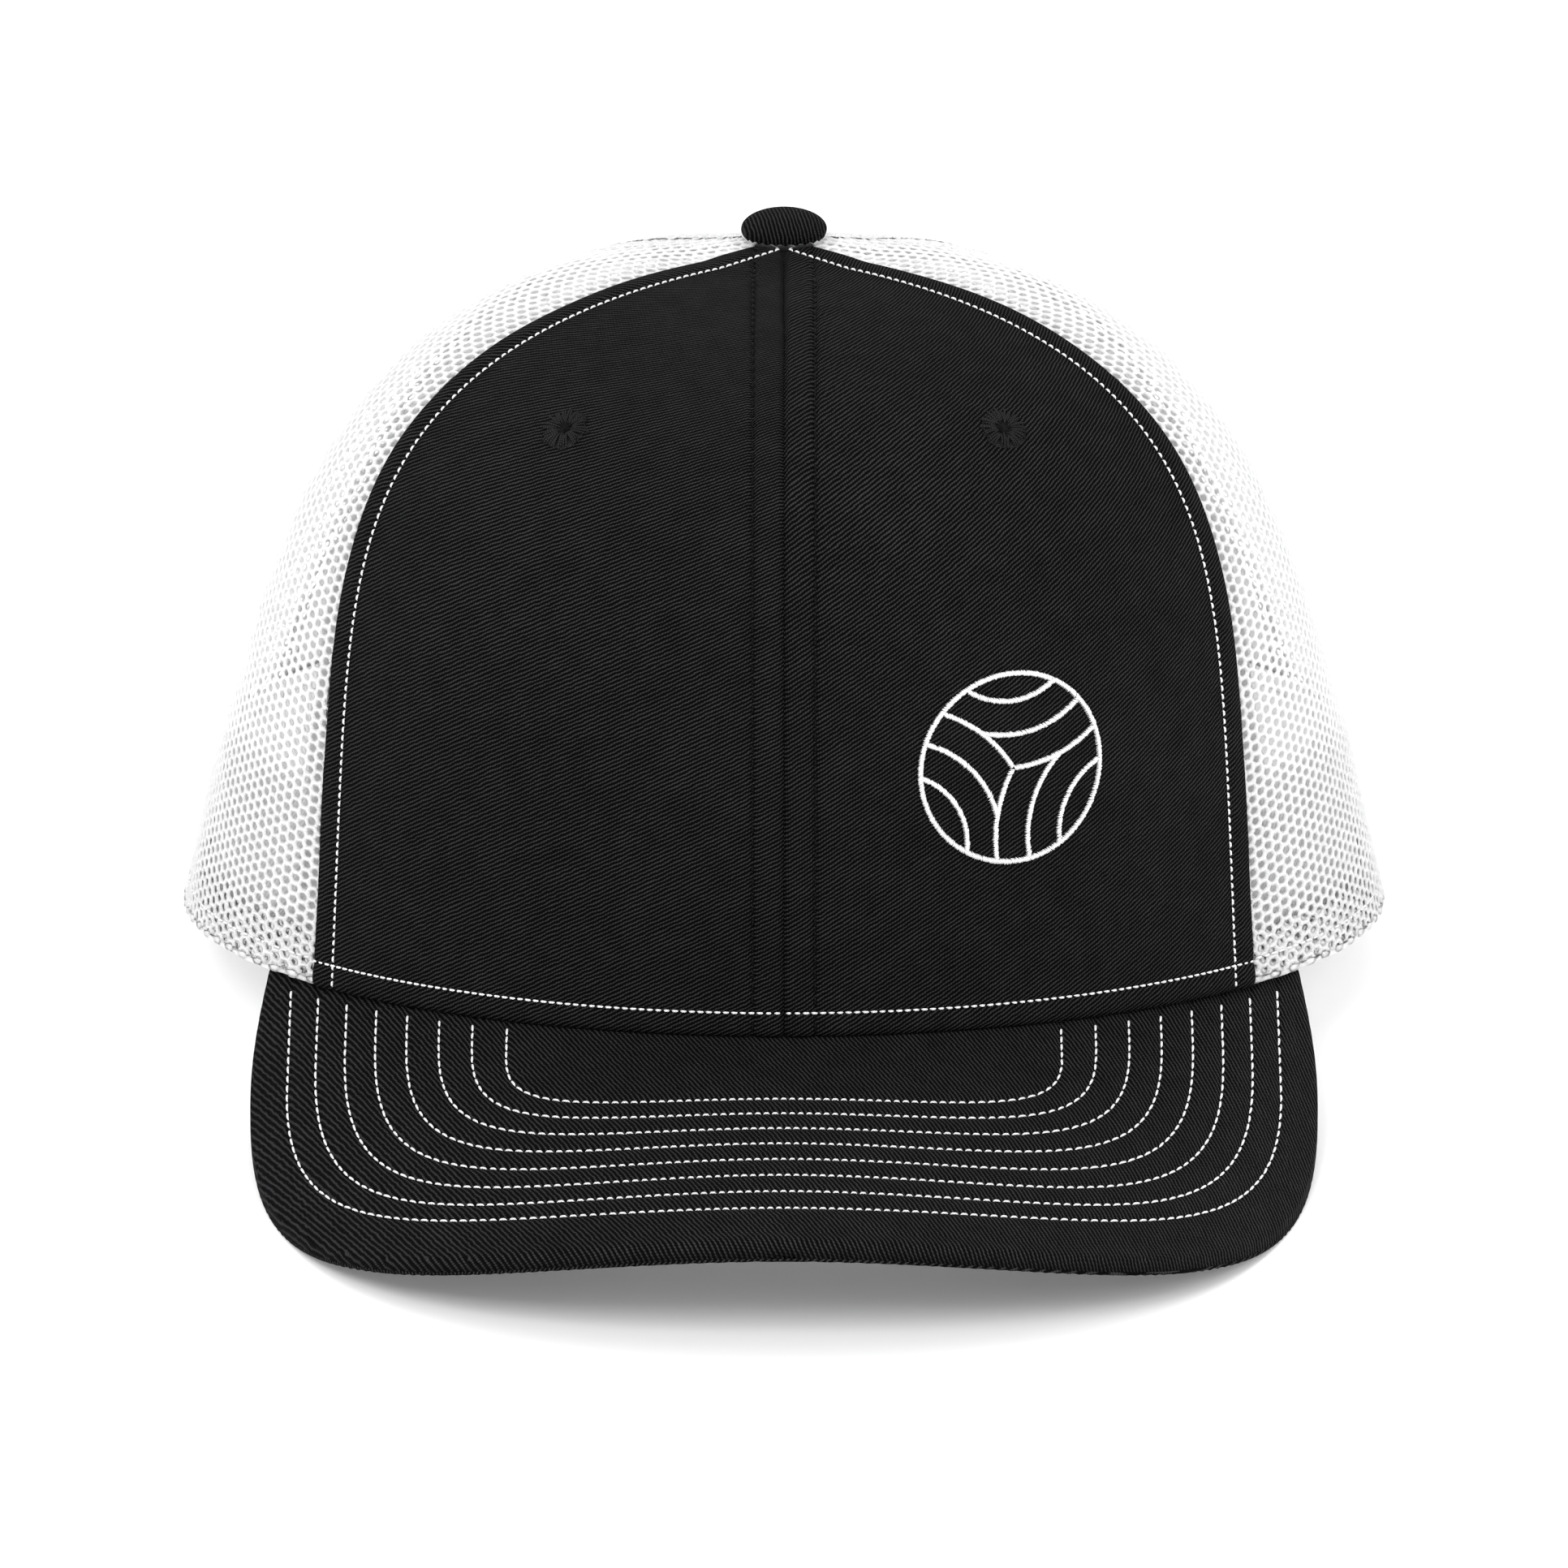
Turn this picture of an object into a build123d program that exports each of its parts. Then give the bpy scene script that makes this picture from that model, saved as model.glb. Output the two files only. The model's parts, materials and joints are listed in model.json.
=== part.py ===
"""Six-panel trucker mesh cap with a curved visor and a snap strap across its rear opening.

Units are millimetres.  The cap is drawn upright on its base plane (z = 0 at the crown's lower
edge), faces -Y, and has the wearer's left side at +X.  STAND then tips every plane back by a
few degrees, so that the finished cap stands on its visor corners and the rear of its base.
"""
from build123d import *
from math import asin, atan2, cos, degrees, hypot, pi, radians, sin, sqrt
import os

os.makedirs("parts", exist_ok=True)

# ---------------------------------------------------------------- driving dimensions
# Crown: an oval base with an apex ahead of the middle
HALF_WIDTH = 99.7            # base oval, across
HALF_LENGTH = 89.2           # base oval, front to back
CROWN_HEIGHT = 112.0
APEX_Y = -12.0               # where all the seams meet
TOP_HOLE = 4.5               # radius of the hole under the button

# Crown profile at azimuths 0 (front), 60, 120 and 180 degrees (back):
# radius = reach * (1 - taper * s) * (1 - s ** rise) ** (1 / roundness), s = height / CROWN_HEIGHT
TAPER = (-0.03, 0.08, 0.265, 0.085)
RISE = (5.7, 5.5, 2.0, 2.2)
ROUNDNESS = (1.9, 2.25, 3.4, 1.8)

FRONT_SEAM = 59.5            # azimuth of the seams between front and side panels
BACK_SEAM = 118.0            # azimuth of the seams between side and back panels

# Layers of the crown wall, measured inward from its outer surface
SKIN = 0.9                   # front twill
WALL = 1.8                   # twill and buckram together, or the doubled mesh
TAPE_IN, TAPE_OUT = 1.9, 2.6
BAND_IN, BAND_OUT = 2.8, 4.2
TAPE_WIDTH = 14.0
TAPE_END = 14.5              # the tapes stop this far from the apex, under the button plate
BAND_LOW, BAND_HIGH = 0.8, 33.0
BAND_END = 146.0             # azimuth at which each end of the sweatband stops

# Visor
VISOR_HALF_WIDTH = 86.2
VISOR_ROOT_HALF = 83.7       # where its sides meet the crown
VISOR_LENGTH = 68.4
VISOR_SHOULDER = -20.1       # where the sides start to round, counted ahead from the crown's front
VISOR_POWER = 2.19           # superellipse exponent of the front edge
VISOR_SLOPE = 0.2            # fall per millimetre along the middle
VISOR_CURL = 4.0e-5          # extra fall per millimetre and per square millimetre of offset
COVER = 0.6
BOARD = 1.6
BOARD_INSET = 0.6            # the covers reach this far past the board's edge
VISOR_TUCK = 1.8             # how far the visor reaches in under the crown wall

# Button, eyelets and emblem
BUTTON_RADIUS, BUTTON_RISE = 7.0, 3.3     # a flattened ball: half its width and half its height
BUTTON_CUT = 45.0            # angle below the ball's middle at which it meets the crown
BUTTON_COVER, BUTTON_SHELL = 0.6, 0.5
BUTTON_BASE = CROWN_HEIGHT + 0.15
BUTTON_MIDDLE = BUTTON_BASE + BUTTON_RISE * sin(radians(BUTTON_CUT))
STEM_RADIUS, BACKPLATE_RADIUS, BACKPLATE = 1.5, 6.5, 0.8
BACKPLATE_TOP = CROWN_HEIGHT - WALL - 0.6
EYELET_X, EYELET_Z = 35.0, 94.4
EYELET_RADIUS, EYELET_HOLE = 4.2, 1.6
EYELET_RISE = 0.7
EMBLEM_X, EMBLEM_Z = 36.3, 42.8
EMBLEM_RADIUS, EMBLEM_LINE = 15.9, 1.0
EMBLEM_BEND = 23.3           # radius of the curved panel lines
EMBLEM_STEP = 5.5            # spacing of the panel lines
EMBLEM_RISE = 0.6

# Rear opening and its snap strap
ARCH_HALF, ARCH_HEIGHT, ARCH_SHOULDER = 43.0, 50.0, 14.0
BINDING = 7.0                # width of the bound edge
STRAP_ARC = 111.0            # radius of the base oval at the back, which the straps follow
STRAP_LOW, STRAP_TALL = 2.5, 14.0
STRAP = 1.2                  # thickness
HOLE_STRAP_IN, PEG_STRAP_IN = 1.8, 3.3     # outer faces, inward from the base oval
HINGE = 42.0                 # arc distance from the middle to each strap's bend
HOLE_STRAP_TIP, PEG_STRAP_TIP = -24.0, 24.0
TAB_START, TAB_END, TAB_IN = 46.0, 56.0, 2.3
PEG_PITCH, PEG_COUNT = 9.0, 7
PEG_FIRST, HOLE_FIRST = -36.0, -18.0
STEM, PEG_HEAD, PEG_TALL = 1.1, 1.4, 2.2
HOLE_RADIUS = 2.5

LABEL = 0.4                  # thickness of the blank label
LABEL_AZIMUTHS, LABEL_HEIGHTS = (122.0, 140.0), (8.0, 26.0)

# Standing pose
STAND_TILT, STAND_BACK, STAND_LIFT = 8.66, 34.74, 12.15
STAND = Location((0, STAND_BACK, STAND_LIFT), (-STAND_TILT, 0, 0))


# ---------------------------------------------------------------- crown surface
def blend(values, azimuth):
    """Cosine series that takes the four values at 0, 60, 120 and 180 degrees."""
    front, side_front, side_back, back = values
    c0 = (front + 2 * side_front + 2 * side_back + back) / 6
    c1 = (front + side_front - side_back - back) / 3
    c2 = (front - side_front - side_back + back) / 3
    c3 = (front - 2 * side_front + 2 * side_back - back) / 6
    angle = radians(azimuth)
    return c0 + c1 * cos(angle) + c2 * cos(2 * angle) + c3 * cos(3 * angle)


def reach(azimuth):
    """Distance from the apex axis to the base oval."""
    along_x, along_y = sin(radians(azimuth)), -cos(radians(azimuth))
    a = (along_x / HALF_WIDTH) ** 2 + (along_y / HALF_LENGTH) ** 2
    b = APEX_Y * along_y / HALF_LENGTH**2
    c = (APEX_Y / HALF_LENGTH) ** 2 - 1
    return (sqrt(b * b - a * c) - b) / a


def radius(azimuth, s):
    """Crown radius about the apex axis at height s * CROWN_HEIGHT."""
    azimuth = abs(azimuth)
    shrink = 1 - blend(TAPER, azimuth) * s
    dome = max(0.0, 1 - s ** blend(RISE, azimuth)) ** (1 / blend(ROUNDNESS, azimuth))
    return reach(azimuth) * shrink * dome


def height_at(azimuth, wanted, across=0.0):
    """Share of the crown's height at which its radius falls to the wanted one."""
    low, high = 0.5, 1.0
    for _ in range(40):
        s = (low + high) / 2
        if span(azimuth, s, across) > wanted:
            low = s
        else:
            high = s
    return low


def span(azimuth, s, across):
    """Distance along the azimuth to the surface, in a plane shifted sideways by across."""
    along = radius(azimuth, s)
    for _ in range(8):
        turned = azimuth + degrees(atan2(across, along))
        along = sqrt(max(radius(turned, s) ** 2 - across**2, 0.01))
    return along


def meridian(azimuth, across=0.0):
    """Upright plane through the apex axis (or beside it), local X outward, local Y up."""
    angle = radians(azimuth)
    outward = Vector(sin(angle), -cos(angle), 0)
    sideways = Vector(cos(angle), sin(angle), 0)
    origin = Vector(0, APEX_Y, 0) + sideways * across
    upright = Plane(origin=origin, x_dir=outward, z_dir=-sideways)
    return Plane(STAND * upright.location)


def profile(azimuth, depth, top, low=0.0, across=0.0, points=10):
    """Profile points from height low up to share top, at a depth inside the outer surface."""
    start = low / CROWN_HEIGHT
    curve = []
    for i in range(points):
        s = start + (top - start) * sin(pi / 2 * i / (points - 1))
        step = 1e-4
        run = span(azimuth, s + step * (s < 0.9), across) - span(azimuth, s - step * (s >= 0.9), across)
        rise = CROWN_HEIGHT * step
        length = hypot(run, rise)
        out, up = rise / length, -run / length
        if i == 0:
            out, up = 1.0, 0.0
        curve.append((span(azimuth, s, across) - depth * out, CROWN_HEIGHT * s - depth * up))
    return curve


def wall_sections(start, end, outer, inner, count, low=0.0, high=None):
    """Closed sections of the crown wall between two depths, from one azimuth to another."""
    sections = []
    for i in range(count):
        azimuth = start + (end - start) * i / (count - 1)
        top = high / CROWN_HEIGHT if high else height_at(azimuth, TOP_HOLE)
        sections.append(closed_section(azimuth, outer, inner, top, low))
    return sections


def closed_section(azimuth, outer, inner, top, low=0.0, across=0.0):
    """One closed section of the crown wall in the upright plane at that azimuth."""
    outside = profile(azimuth, outer, top, low, across)
    inside = profile(azimuth, inner, top, low, across)
    with BuildSketch(meridian(azimuth, across)) as section:
        with BuildLine():
            Spline(*outside)
            Line(outside[-1], inside[-1])
            Spline(*inside)
            Line(inside[0], outside[0])
        make_face()
    return section.sketch


def tape_sections(azimuth):
    """Sections of a straight-sided tape that lies along the seam at that azimuth."""
    sections = []
    for across in (-TAPE_WIDTH / 2, 0.0, TAPE_WIDTH / 2):
        top = height_at(azimuth, TAPE_END, across)
        sections.append(closed_section(azimuth, TAPE_IN, TAPE_OUT, top, 1.0, across))
    return sections


def surface_point(azimuth, height):
    """Point of the crown's outer surface."""
    r = radius(azimuth, height / CROWN_HEIGHT)
    return Vector(r * sin(radians(azimuth)), APEX_Y - r * cos(radians(azimuth)), height)


def surface_plane(x, height):
    """Plane that touches the front of the crown at that x and height, local Y up the wall."""
    low, high = -80.0, 80.0
    for _ in range(40):
        azimuth = (low + high) / 2
        if surface_point(azimuth, height).X < x:
            low = azimuth
        else:
            high = azimuth
    point = surface_point(azimuth, height)
    sideways = surface_point(azimuth + 0.1, height) - point
    upward = surface_point(azimuth, height + 0.1) - point
    return Plane(STAND * Plane(origin=point, x_dir=sideways, z_dir=sideways.cross(upward)).location)


def level(height):
    """Horizontal plane of the cap, before it is tipped back."""
    return Plane(STAND * Location((0, 0, height)))


def arch(widen):
    """Outline of the rear opening as seen from behind, grown outward by widen."""
    half, shoulder = ARCH_HALF + widen, ARCH_SHOULDER
    crown_of_arch = ARCH_HEIGHT - ARCH_SHOULDER + widen
    behind = Plane(STAND * Plane(origin=(0, 40, 0), x_dir=(-1, 0, 0), z_dir=(0, 1, 0)).location)
    with BuildSketch(behind) as outline:
        with Locations((0, shoulder)):
            Ellipse(half, crown_of_arch)
        with Locations((0, shoulder)):
            Rectangle(2 * half, 2 * CROWN_HEIGHT, align=(Align.CENTER, Align.MAX))
    return outline.sketch


# ---------------------------------------------------------------- crown panels
SIDES = (("left", 1), ("right", -1))

for side, sign in SIDES:
    eyelet_plane = surface_plane(sign * EYELET_X, EYELET_Z)
    with BuildPart() as front_panel:
        loft(wall_sections(0, sign * FRONT_SEAM, 0, SKIN, 5))
        with BuildSketch(eyelet_plane):
            Circle(EYELET_HOLE + 1.0)
        extrude(amount=8, both=True, mode=Mode.SUBTRACT)
    front_panel.part.label = "front_panel_" + side
    export_step(front_panel.part, "parts/front_panel_" + side + ".step")

    with BuildPart() as buckram:
        loft(wall_sections(0, sign * FRONT_SEAM, SKIN, WALL, 5))
        with BuildSketch(eyelet_plane):
            Circle(EYELET_HOLE + 1.0)
        extrude(amount=8, both=True, mode=Mode.SUBTRACT)
    buckram.part.label = "buckram_" + side
    export_step(buckram.part, "parts/buckram_" + side + ".step")

    # Embroidered eyelet: a raised ring with a sleeve through both layers
    with BuildPart() as eyelet:
        with BuildSketch(eyelet_plane.offset(0.05)):
            Circle(EYELET_RADIUS)
        extrude(amount=EYELET_RISE, taper=30)
        with BuildSketch(eyelet_plane.offset(0.05)):
            Circle(EYELET_HOLE + 0.9)
        extrude(amount=-WALL)
        with BuildSketch(eyelet_plane):
            Circle(EYELET_HOLE)
        extrude(amount=8, both=True, mode=Mode.SUBTRACT)
    eyelet.part.label = "eyelet_" + side
    export_step(eyelet.part, "parts/eyelet_" + side + ".step")

    with BuildPart() as side_mesh:
        loft(wall_sections(sign * FRONT_SEAM, sign * BACK_SEAM, 0, WALL, 6))
    side_mesh.part.label = "side_mesh_" + side
    export_step(side_mesh.part, "parts/side_mesh_" + side + ".step")

    with BuildPart() as back_mesh:
        loft(wall_sections(sign * BACK_SEAM, sign * 180, 0, WALL, 6))
        extrude(arch(BINDING), amount=100, mode=Mode.SUBTRACT)
    back_mesh.part.label = "back_mesh_" + side
    export_step(back_mesh.part, "parts/back_mesh_" + side + ".step")

    for place, seam in (("front", FRONT_SEAM), ("back", BACK_SEAM)):
        with BuildPart() as side_tape:
            loft(tape_sections(sign * seam))
        side_tape.part.label = place + "_" + side + "_seam_tape"
        export_step(side_tape.part, "parts/" + place + "_" + side + "_seam_tape.step")

with BuildPart() as front_seam_tape:
    loft(tape_sections(0))
front_seam_tape.part.label = "front_seam_tape"
export_step(front_seam_tape.part, "parts/front_seam_tape.step")

with BuildPart() as back_seam_tape:
    loft(tape_sections(180))
    extrude(arch(BINDING), amount=100, mode=Mode.SUBTRACT)
back_seam_tape.part.label = "back_seam_tape"
export_step(back_seam_tape.part, "parts/back_seam_tape.step")

# Bound edge of the rear opening, a little thicker than the wall
with BuildPart() as opening_binding:
    loft(wall_sections(140, 220, -0.2, WALL + 0.2, 9))
    extrude(arch(BINDING), amount=100, mode=Mode.INTERSECT)
    extrude(arch(0), amount=100, mode=Mode.SUBTRACT)
opening_binding.part.label = "opening_binding"
export_step(opening_binding.part, "parts/opening_binding.step")

with BuildPart() as sweatband:
    for _, sign in SIDES:
        loft(wall_sections(0, sign * BAND_END, BAND_IN, BAND_OUT, 9, BAND_LOW, BAND_HIGH))
sweatband.part.label = "sweatband"
export_step(sweatband.part, "parts/sweatband.step")

with BuildPart() as care_label:
    loft(wall_sections(*LABEL_AZIMUTHS, BAND_OUT + 0.2, BAND_OUT + 0.2 + LABEL, 4, *LABEL_HEIGHTS))
care_label.part.label = "care_label"
export_step(care_label.part, "parts/care_label.step")


# ---------------------------------------------------------------- ball emblem
def circle_at(radius_wanted, azimuth):
    """Disc whose centre lies in that direction, with the emblem's middle on the bend circle."""
    middle = (EMBLEM_BEND * cos(radians(azimuth)), EMBLEM_BEND * sin(radians(azimuth)))
    with BuildSketch() as disc:
        with Locations(middle):
            Circle(radius_wanted)
    return disc.sketch


with BuildSketch() as ball_lines:
    Circle(EMBLEM_RADIUS)
    Circle(EMBLEM_RADIUS - EMBLEM_LINE, mode=Mode.SUBTRACT)
    for turn in (90, 210, 330):
        for row in range(3):
            bend = EMBLEM_BEND - row * EMBLEM_STEP
            with BuildSketch(mode=Mode.PRIVATE) as arc:
                Circle(EMBLEM_RADIUS - EMBLEM_LINE / 2)
                add(circle_at(bend + EMBLEM_LINE / 2, turn), mode=Mode.INTERSECT)
                add(circle_at(bend - EMBLEM_LINE / 2, turn), mode=Mode.SUBTRACT)
                add(circle_at(EMBLEM_BEND - EMBLEM_LINE / 2, turn + 120), mode=Mode.SUBTRACT)
            add(arc.sketch)

with BuildPart() as ball_emblem:
    with BuildSketch(surface_plane(EMBLEM_X, EMBLEM_Z)):
        add(ball_lines.sketch)
    extrude(amount=12, both=True)
    add(loft(wall_sections(2, 57, -0.05 - EMBLEM_RISE, -0.05, 5), mode=Mode.PRIVATE), mode=Mode.INTERSECT)
ball_emblem.part.label = "ball_emblem"
export_step(ball_emblem.part, "parts/ball_emblem.step")


# ---------------------------------------------------------------- visor
def visor_outline(inset):
    """Plan of the visor: superellipse front, slightly flared sides, root under the crown wall."""
    half, length = VISOR_HALF_WIDTH - inset, VISOR_LENGTH - VISOR_SHOULDER - inset
    corner_x = VISOR_ROOT_HALF - inset
    wide, deep = HALF_WIDTH - VISOR_TUCK, HALF_LENGTH - VISOR_TUCK
    edge = [(corner_x, -deep * sqrt(1 - (corner_x / wide) ** 2))]
    edge.append((half - 0.75, -HALF_LENGTH + 32))
    for turn in range(0, 91, 15):
        x = half * max(cos(radians(turn)), 0.0) ** (2 / VISOR_POWER)
        forward = VISOR_SHOULDER + length * sin(radians(turn)) ** (2 / VISOR_POWER)
        edge.append((x, -HALF_LENGTH - forward))
    edge += [(-x, y) for x, y in reversed(edge[:-1])]
    start = degrees(asin(corner_x / wide))
    root = []
    for i in range(9):
        angle = radians(-start + 2 * start * i / 8)
        root.append((wide * sin(angle), -deep * cos(angle)))
    root[0], root[-1] = edge[-1], edge[0]
    with BuildSketch(level(-70)) as outline:
        with BuildLine():
            Spline(*edge)
            Spline(*root)
        make_face()
    return outline.sketch


def visor_layer(top, bottom):
    """Slab that falls away from the crown, between two depths below the visor's upper face."""
    wide, deep = HALF_WIDTH - VISOR_TUCK, HALF_LENGTH - VISOR_TUCK
    sections = []
    for i in range(13):
        x = VISOR_HALF_WIDTH * 1.04 * (i - 6) / 6
        root = deep * sqrt(1 - (x / wide) ** 2) - HALF_LENGTH
        fall = VISOR_SLOPE + VISOR_CURL * x**2
        near, far = root - 3, 80.0
        upright = Plane(origin=(x, -HALF_LENGTH, 0), x_dir=(0, -1, 0), z_dir=(-1, 0, 0))
        corners = [(f, -fall * (f - root) - depth) for f, depth in
                   ((near, top), (far, top), (far, bottom), (near, bottom))]
        with BuildSketch(Plane(STAND * upright.location)) as section:
            with BuildLine():
                Polyline(*corners, close=True)
            make_face()
        sections.append(section.sketch)
    return loft(sections, mode=Mode.PRIVATE)


with BuildPart() as visor_top_cover:
    extrude(visor_outline(0), amount=90)
    add(visor_layer(0, COVER), mode=Mode.INTERSECT)
visor_top_cover.part.label = "visor_top_cover"
export_step(visor_top_cover.part, "parts/visor_top_cover.step")

with BuildPart() as visor_board:
    extrude(visor_outline(BOARD_INSET), amount=90)
    add(visor_layer(COVER, COVER + BOARD), mode=Mode.INTERSECT)
visor_board.part.label = "visor_board"
export_step(visor_board.part, "parts/visor_board.step")

with BuildPart() as visor_under_cover:
    extrude(visor_outline(0), amount=90)
    add(visor_layer(COVER + BOARD, 2 * COVER + BOARD), mode=Mode.INTERSECT)
visor_under_cover.part.label = "visor_under_cover"
export_step(visor_under_cover.part, "parts/visor_under_cover.step")


# ---------------------------------------------------------------- button
def dome_curve(inset):
    """Ellipse from the button's lower edge round its rim to its top; call inside BuildLine."""
    wide, tall = BUTTON_RADIUS - inset, BUTTON_RISE - inset
    turns = [radians(turn) for turn in (-BUTTON_CUT, -20, 5, 30, 60)]
    points = [(wide * cos(turn), BUTTON_MIDDLE + tall * sin(turn)) for turn in turns]
    top = (0, BUTTON_MIDDLE + tall)
    return Spline(*points, top, tangents=((0.8, 0.6), (-1, 0)), tangent_scalars=(1, 1))


def dome_section(inset, thick):
    """Half section of a dome wall, drawn beside the apex axis."""
    with BuildSketch(meridian(90)) as section:
        with BuildLine():
            outside = dome_curve(inset)
            inside = dome_curve(inset + thick)
            Line(outside @ 0, inside @ 0)
            Line(outside @ 1, inside @ 1)
        make_face()
    return section.sketch


APEX_AXIS = Axis(meridian(90).origin, meridian(90).y_dir)

with BuildPart() as button_cover:
    revolve(dome_section(0, BUTTON_COVER), axis=APEX_AXIS)
button_cover.part.label = "button_cover"
export_step(button_cover.part, "parts/button_cover.step")

with BuildPart() as button_shell:
    revolve(dome_section(BUTTON_COVER, BUTTON_SHELL), axis=APEX_AXIS)
    with BuildSketch(meridian(90)):
        with Locations((0, BACKPLATE_TOP - BACKPLATE)):
            stem_height = BUTTON_MIDDLE + BUTTON_RISE - BUTTON_COVER - 0.2 - (BACKPLATE_TOP - BACKPLATE)
            Rectangle(STEM_RADIUS, stem_height, align=Align.MIN)
    revolve(axis=APEX_AXIS)
button_shell.part.label = "button_shell"
export_step(button_shell.part, "parts/button_shell.step")

with BuildPart() as button_backplate:
    with BuildSketch(meridian(90)):
        with Locations((STEM_RADIUS + 0.05, BACKPLATE_TOP)):
            Rectangle(BACKPLATE_RADIUS - STEM_RADIUS, BACKPLATE, align=(Align.MIN, Align.MAX))
    revolve(axis=APEX_AXIS)
button_backplate.part.label = "button_backplate"
export_step(button_backplate.part, "parts/button_backplate.step")


# ---------------------------------------------------------------- snap strap
STRAP_CENTRE = (0, HALF_LENGTH - STRAP_ARC)


def arc_angle(position):
    """Polar angle of a place along the back, measured from the middle towards +X."""
    return 90 - degrees(position / STRAP_ARC)


def strap_band(depth, start, end):
    """Upright strip that follows the back of the base oval, outer face at that depth."""
    outer, inner = STRAP_ARC - depth, STRAP_ARC - depth - STRAP
    low, high = sorted((arc_angle(start), arc_angle(end)))
    with BuildSketch(level(STRAP_LOW)) as strip:
        with BuildLine():
            outside = CenterArc(STRAP_CENTRE, outer, low, high - low)
            inside = CenterArc(STRAP_CENTRE, inner, low, high - low)
            Line(outside @ 0, inside @ 0)
            Line(outside @ 1, inside @ 1)
        make_face()
    return extrude(strip.sketch, amount=STRAP_TALL, mode=Mode.PRIVATE)


def strap_outline(hinge, tip):
    """Strap seen from behind: square at the bend, rounded at its free tip."""
    reach_x = [STRAP_ARC * sin(p / STRAP_ARC) for p in (hinge, tip)]
    away = 1 if hinge > tip else -1
    behind = Plane(STAND * Plane(origin=(0, 40, 0), x_dir=(1, 0, 0), z_dir=(0, -1, 0)).location)
    length = abs(reach_x[0] - reach_x[1]) + 20
    with BuildSketch(behind) as outline:
        with Locations((reach_x[1] + away * length / 2, STRAP_LOW + STRAP_TALL / 2)):
            RectangleRounded(length, STRAP_TALL, STRAP_TALL / 2 - 0.1)
    return extrude(outline.sketch, amount=-80, mode=Mode.PRIVATE)


def radial_plane(position, depth):
    """Plane facing outward at a place along the back, at the height of the pegs."""
    angle = radians(arc_angle(position))
    outward = Vector(cos(angle), sin(angle), 0)
    middle = Vector(STRAP_CENTRE[0], STRAP_CENTRE[1], STRAP_LOW + STRAP_TALL / 2)
    rim = middle + outward * (STRAP_ARC - depth)
    return Plane(STAND * Plane(origin=rim, x_dir=(-sin(angle), cos(angle), 0), z_dir=outward).location)


with BuildPart() as hole_strap:
    add(strap_band(HOLE_STRAP_IN, HOLE_STRAP_TIP - 2, HINGE - 0.2))
    add(strap_outline(HINGE, HOLE_STRAP_TIP), mode=Mode.INTERSECT)
    for i in range(PEG_COUNT):
        with BuildSketch(radial_plane(HOLE_FIRST + i * PEG_PITCH, HOLE_STRAP_IN)):
            Circle(HOLE_RADIUS)
        extrude(amount=3, both=True, mode=Mode.SUBTRACT)
hole_strap.part.label = "hole_strap"
export_step(hole_strap.part, "parts/hole_strap.step")

with BuildPart() as peg_strap:
    add(strap_band(PEG_STRAP_IN, PEG_STRAP_TIP + 2, -HINGE + 0.2))
    add(strap_outline(-HINGE, PEG_STRAP_TIP), mode=Mode.INTERSECT)
    for i in range(PEG_COUNT):
        base = radial_plane(PEG_FIRST + i * PEG_PITCH, PEG_STRAP_IN + 0.2)
        with BuildSketch(base):
            Circle(STEM)
        extrude(amount=PEG_TALL - 0.5)
        with BuildSketch(base.offset(PEG_TALL - 0.5)):
            Circle(PEG_HEAD)
        extrude(amount=0.7, taper=25)
peg_strap.part.label = "peg_strap"
export_step(peg_strap.part, "parts/peg_strap.step")

# Sewn ends of the two straps, behind the bound edge
for name, sign in (("hole_strap_tab", 1), ("peg_strap_tab", -1)):
    ends = [180 - sign * degrees(atan2(p, HALF_LENGTH - APEX_Y)) for p in (TAB_START, TAB_END)]
    with BuildPart() as tab:
        loft(wall_sections(ends[0], ends[1], TAB_IN, TAB_IN + STRAP, 3, STRAP_LOW, STRAP_LOW + STRAP_TALL))
    tab.part.label = name
    export_step(tab.part, "parts/" + name + ".step")
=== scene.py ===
"""Trucker mesh cap: the visible model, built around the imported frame.

Lengths below are in millimetres on the cap's own axes: origin at the middle of the crown's base,
X to the wearer's left, -Y forward, Z up from the base plane.  to_row() turns them into metres on
the frame's axes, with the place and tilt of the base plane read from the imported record.
"""
import json
import math

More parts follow.
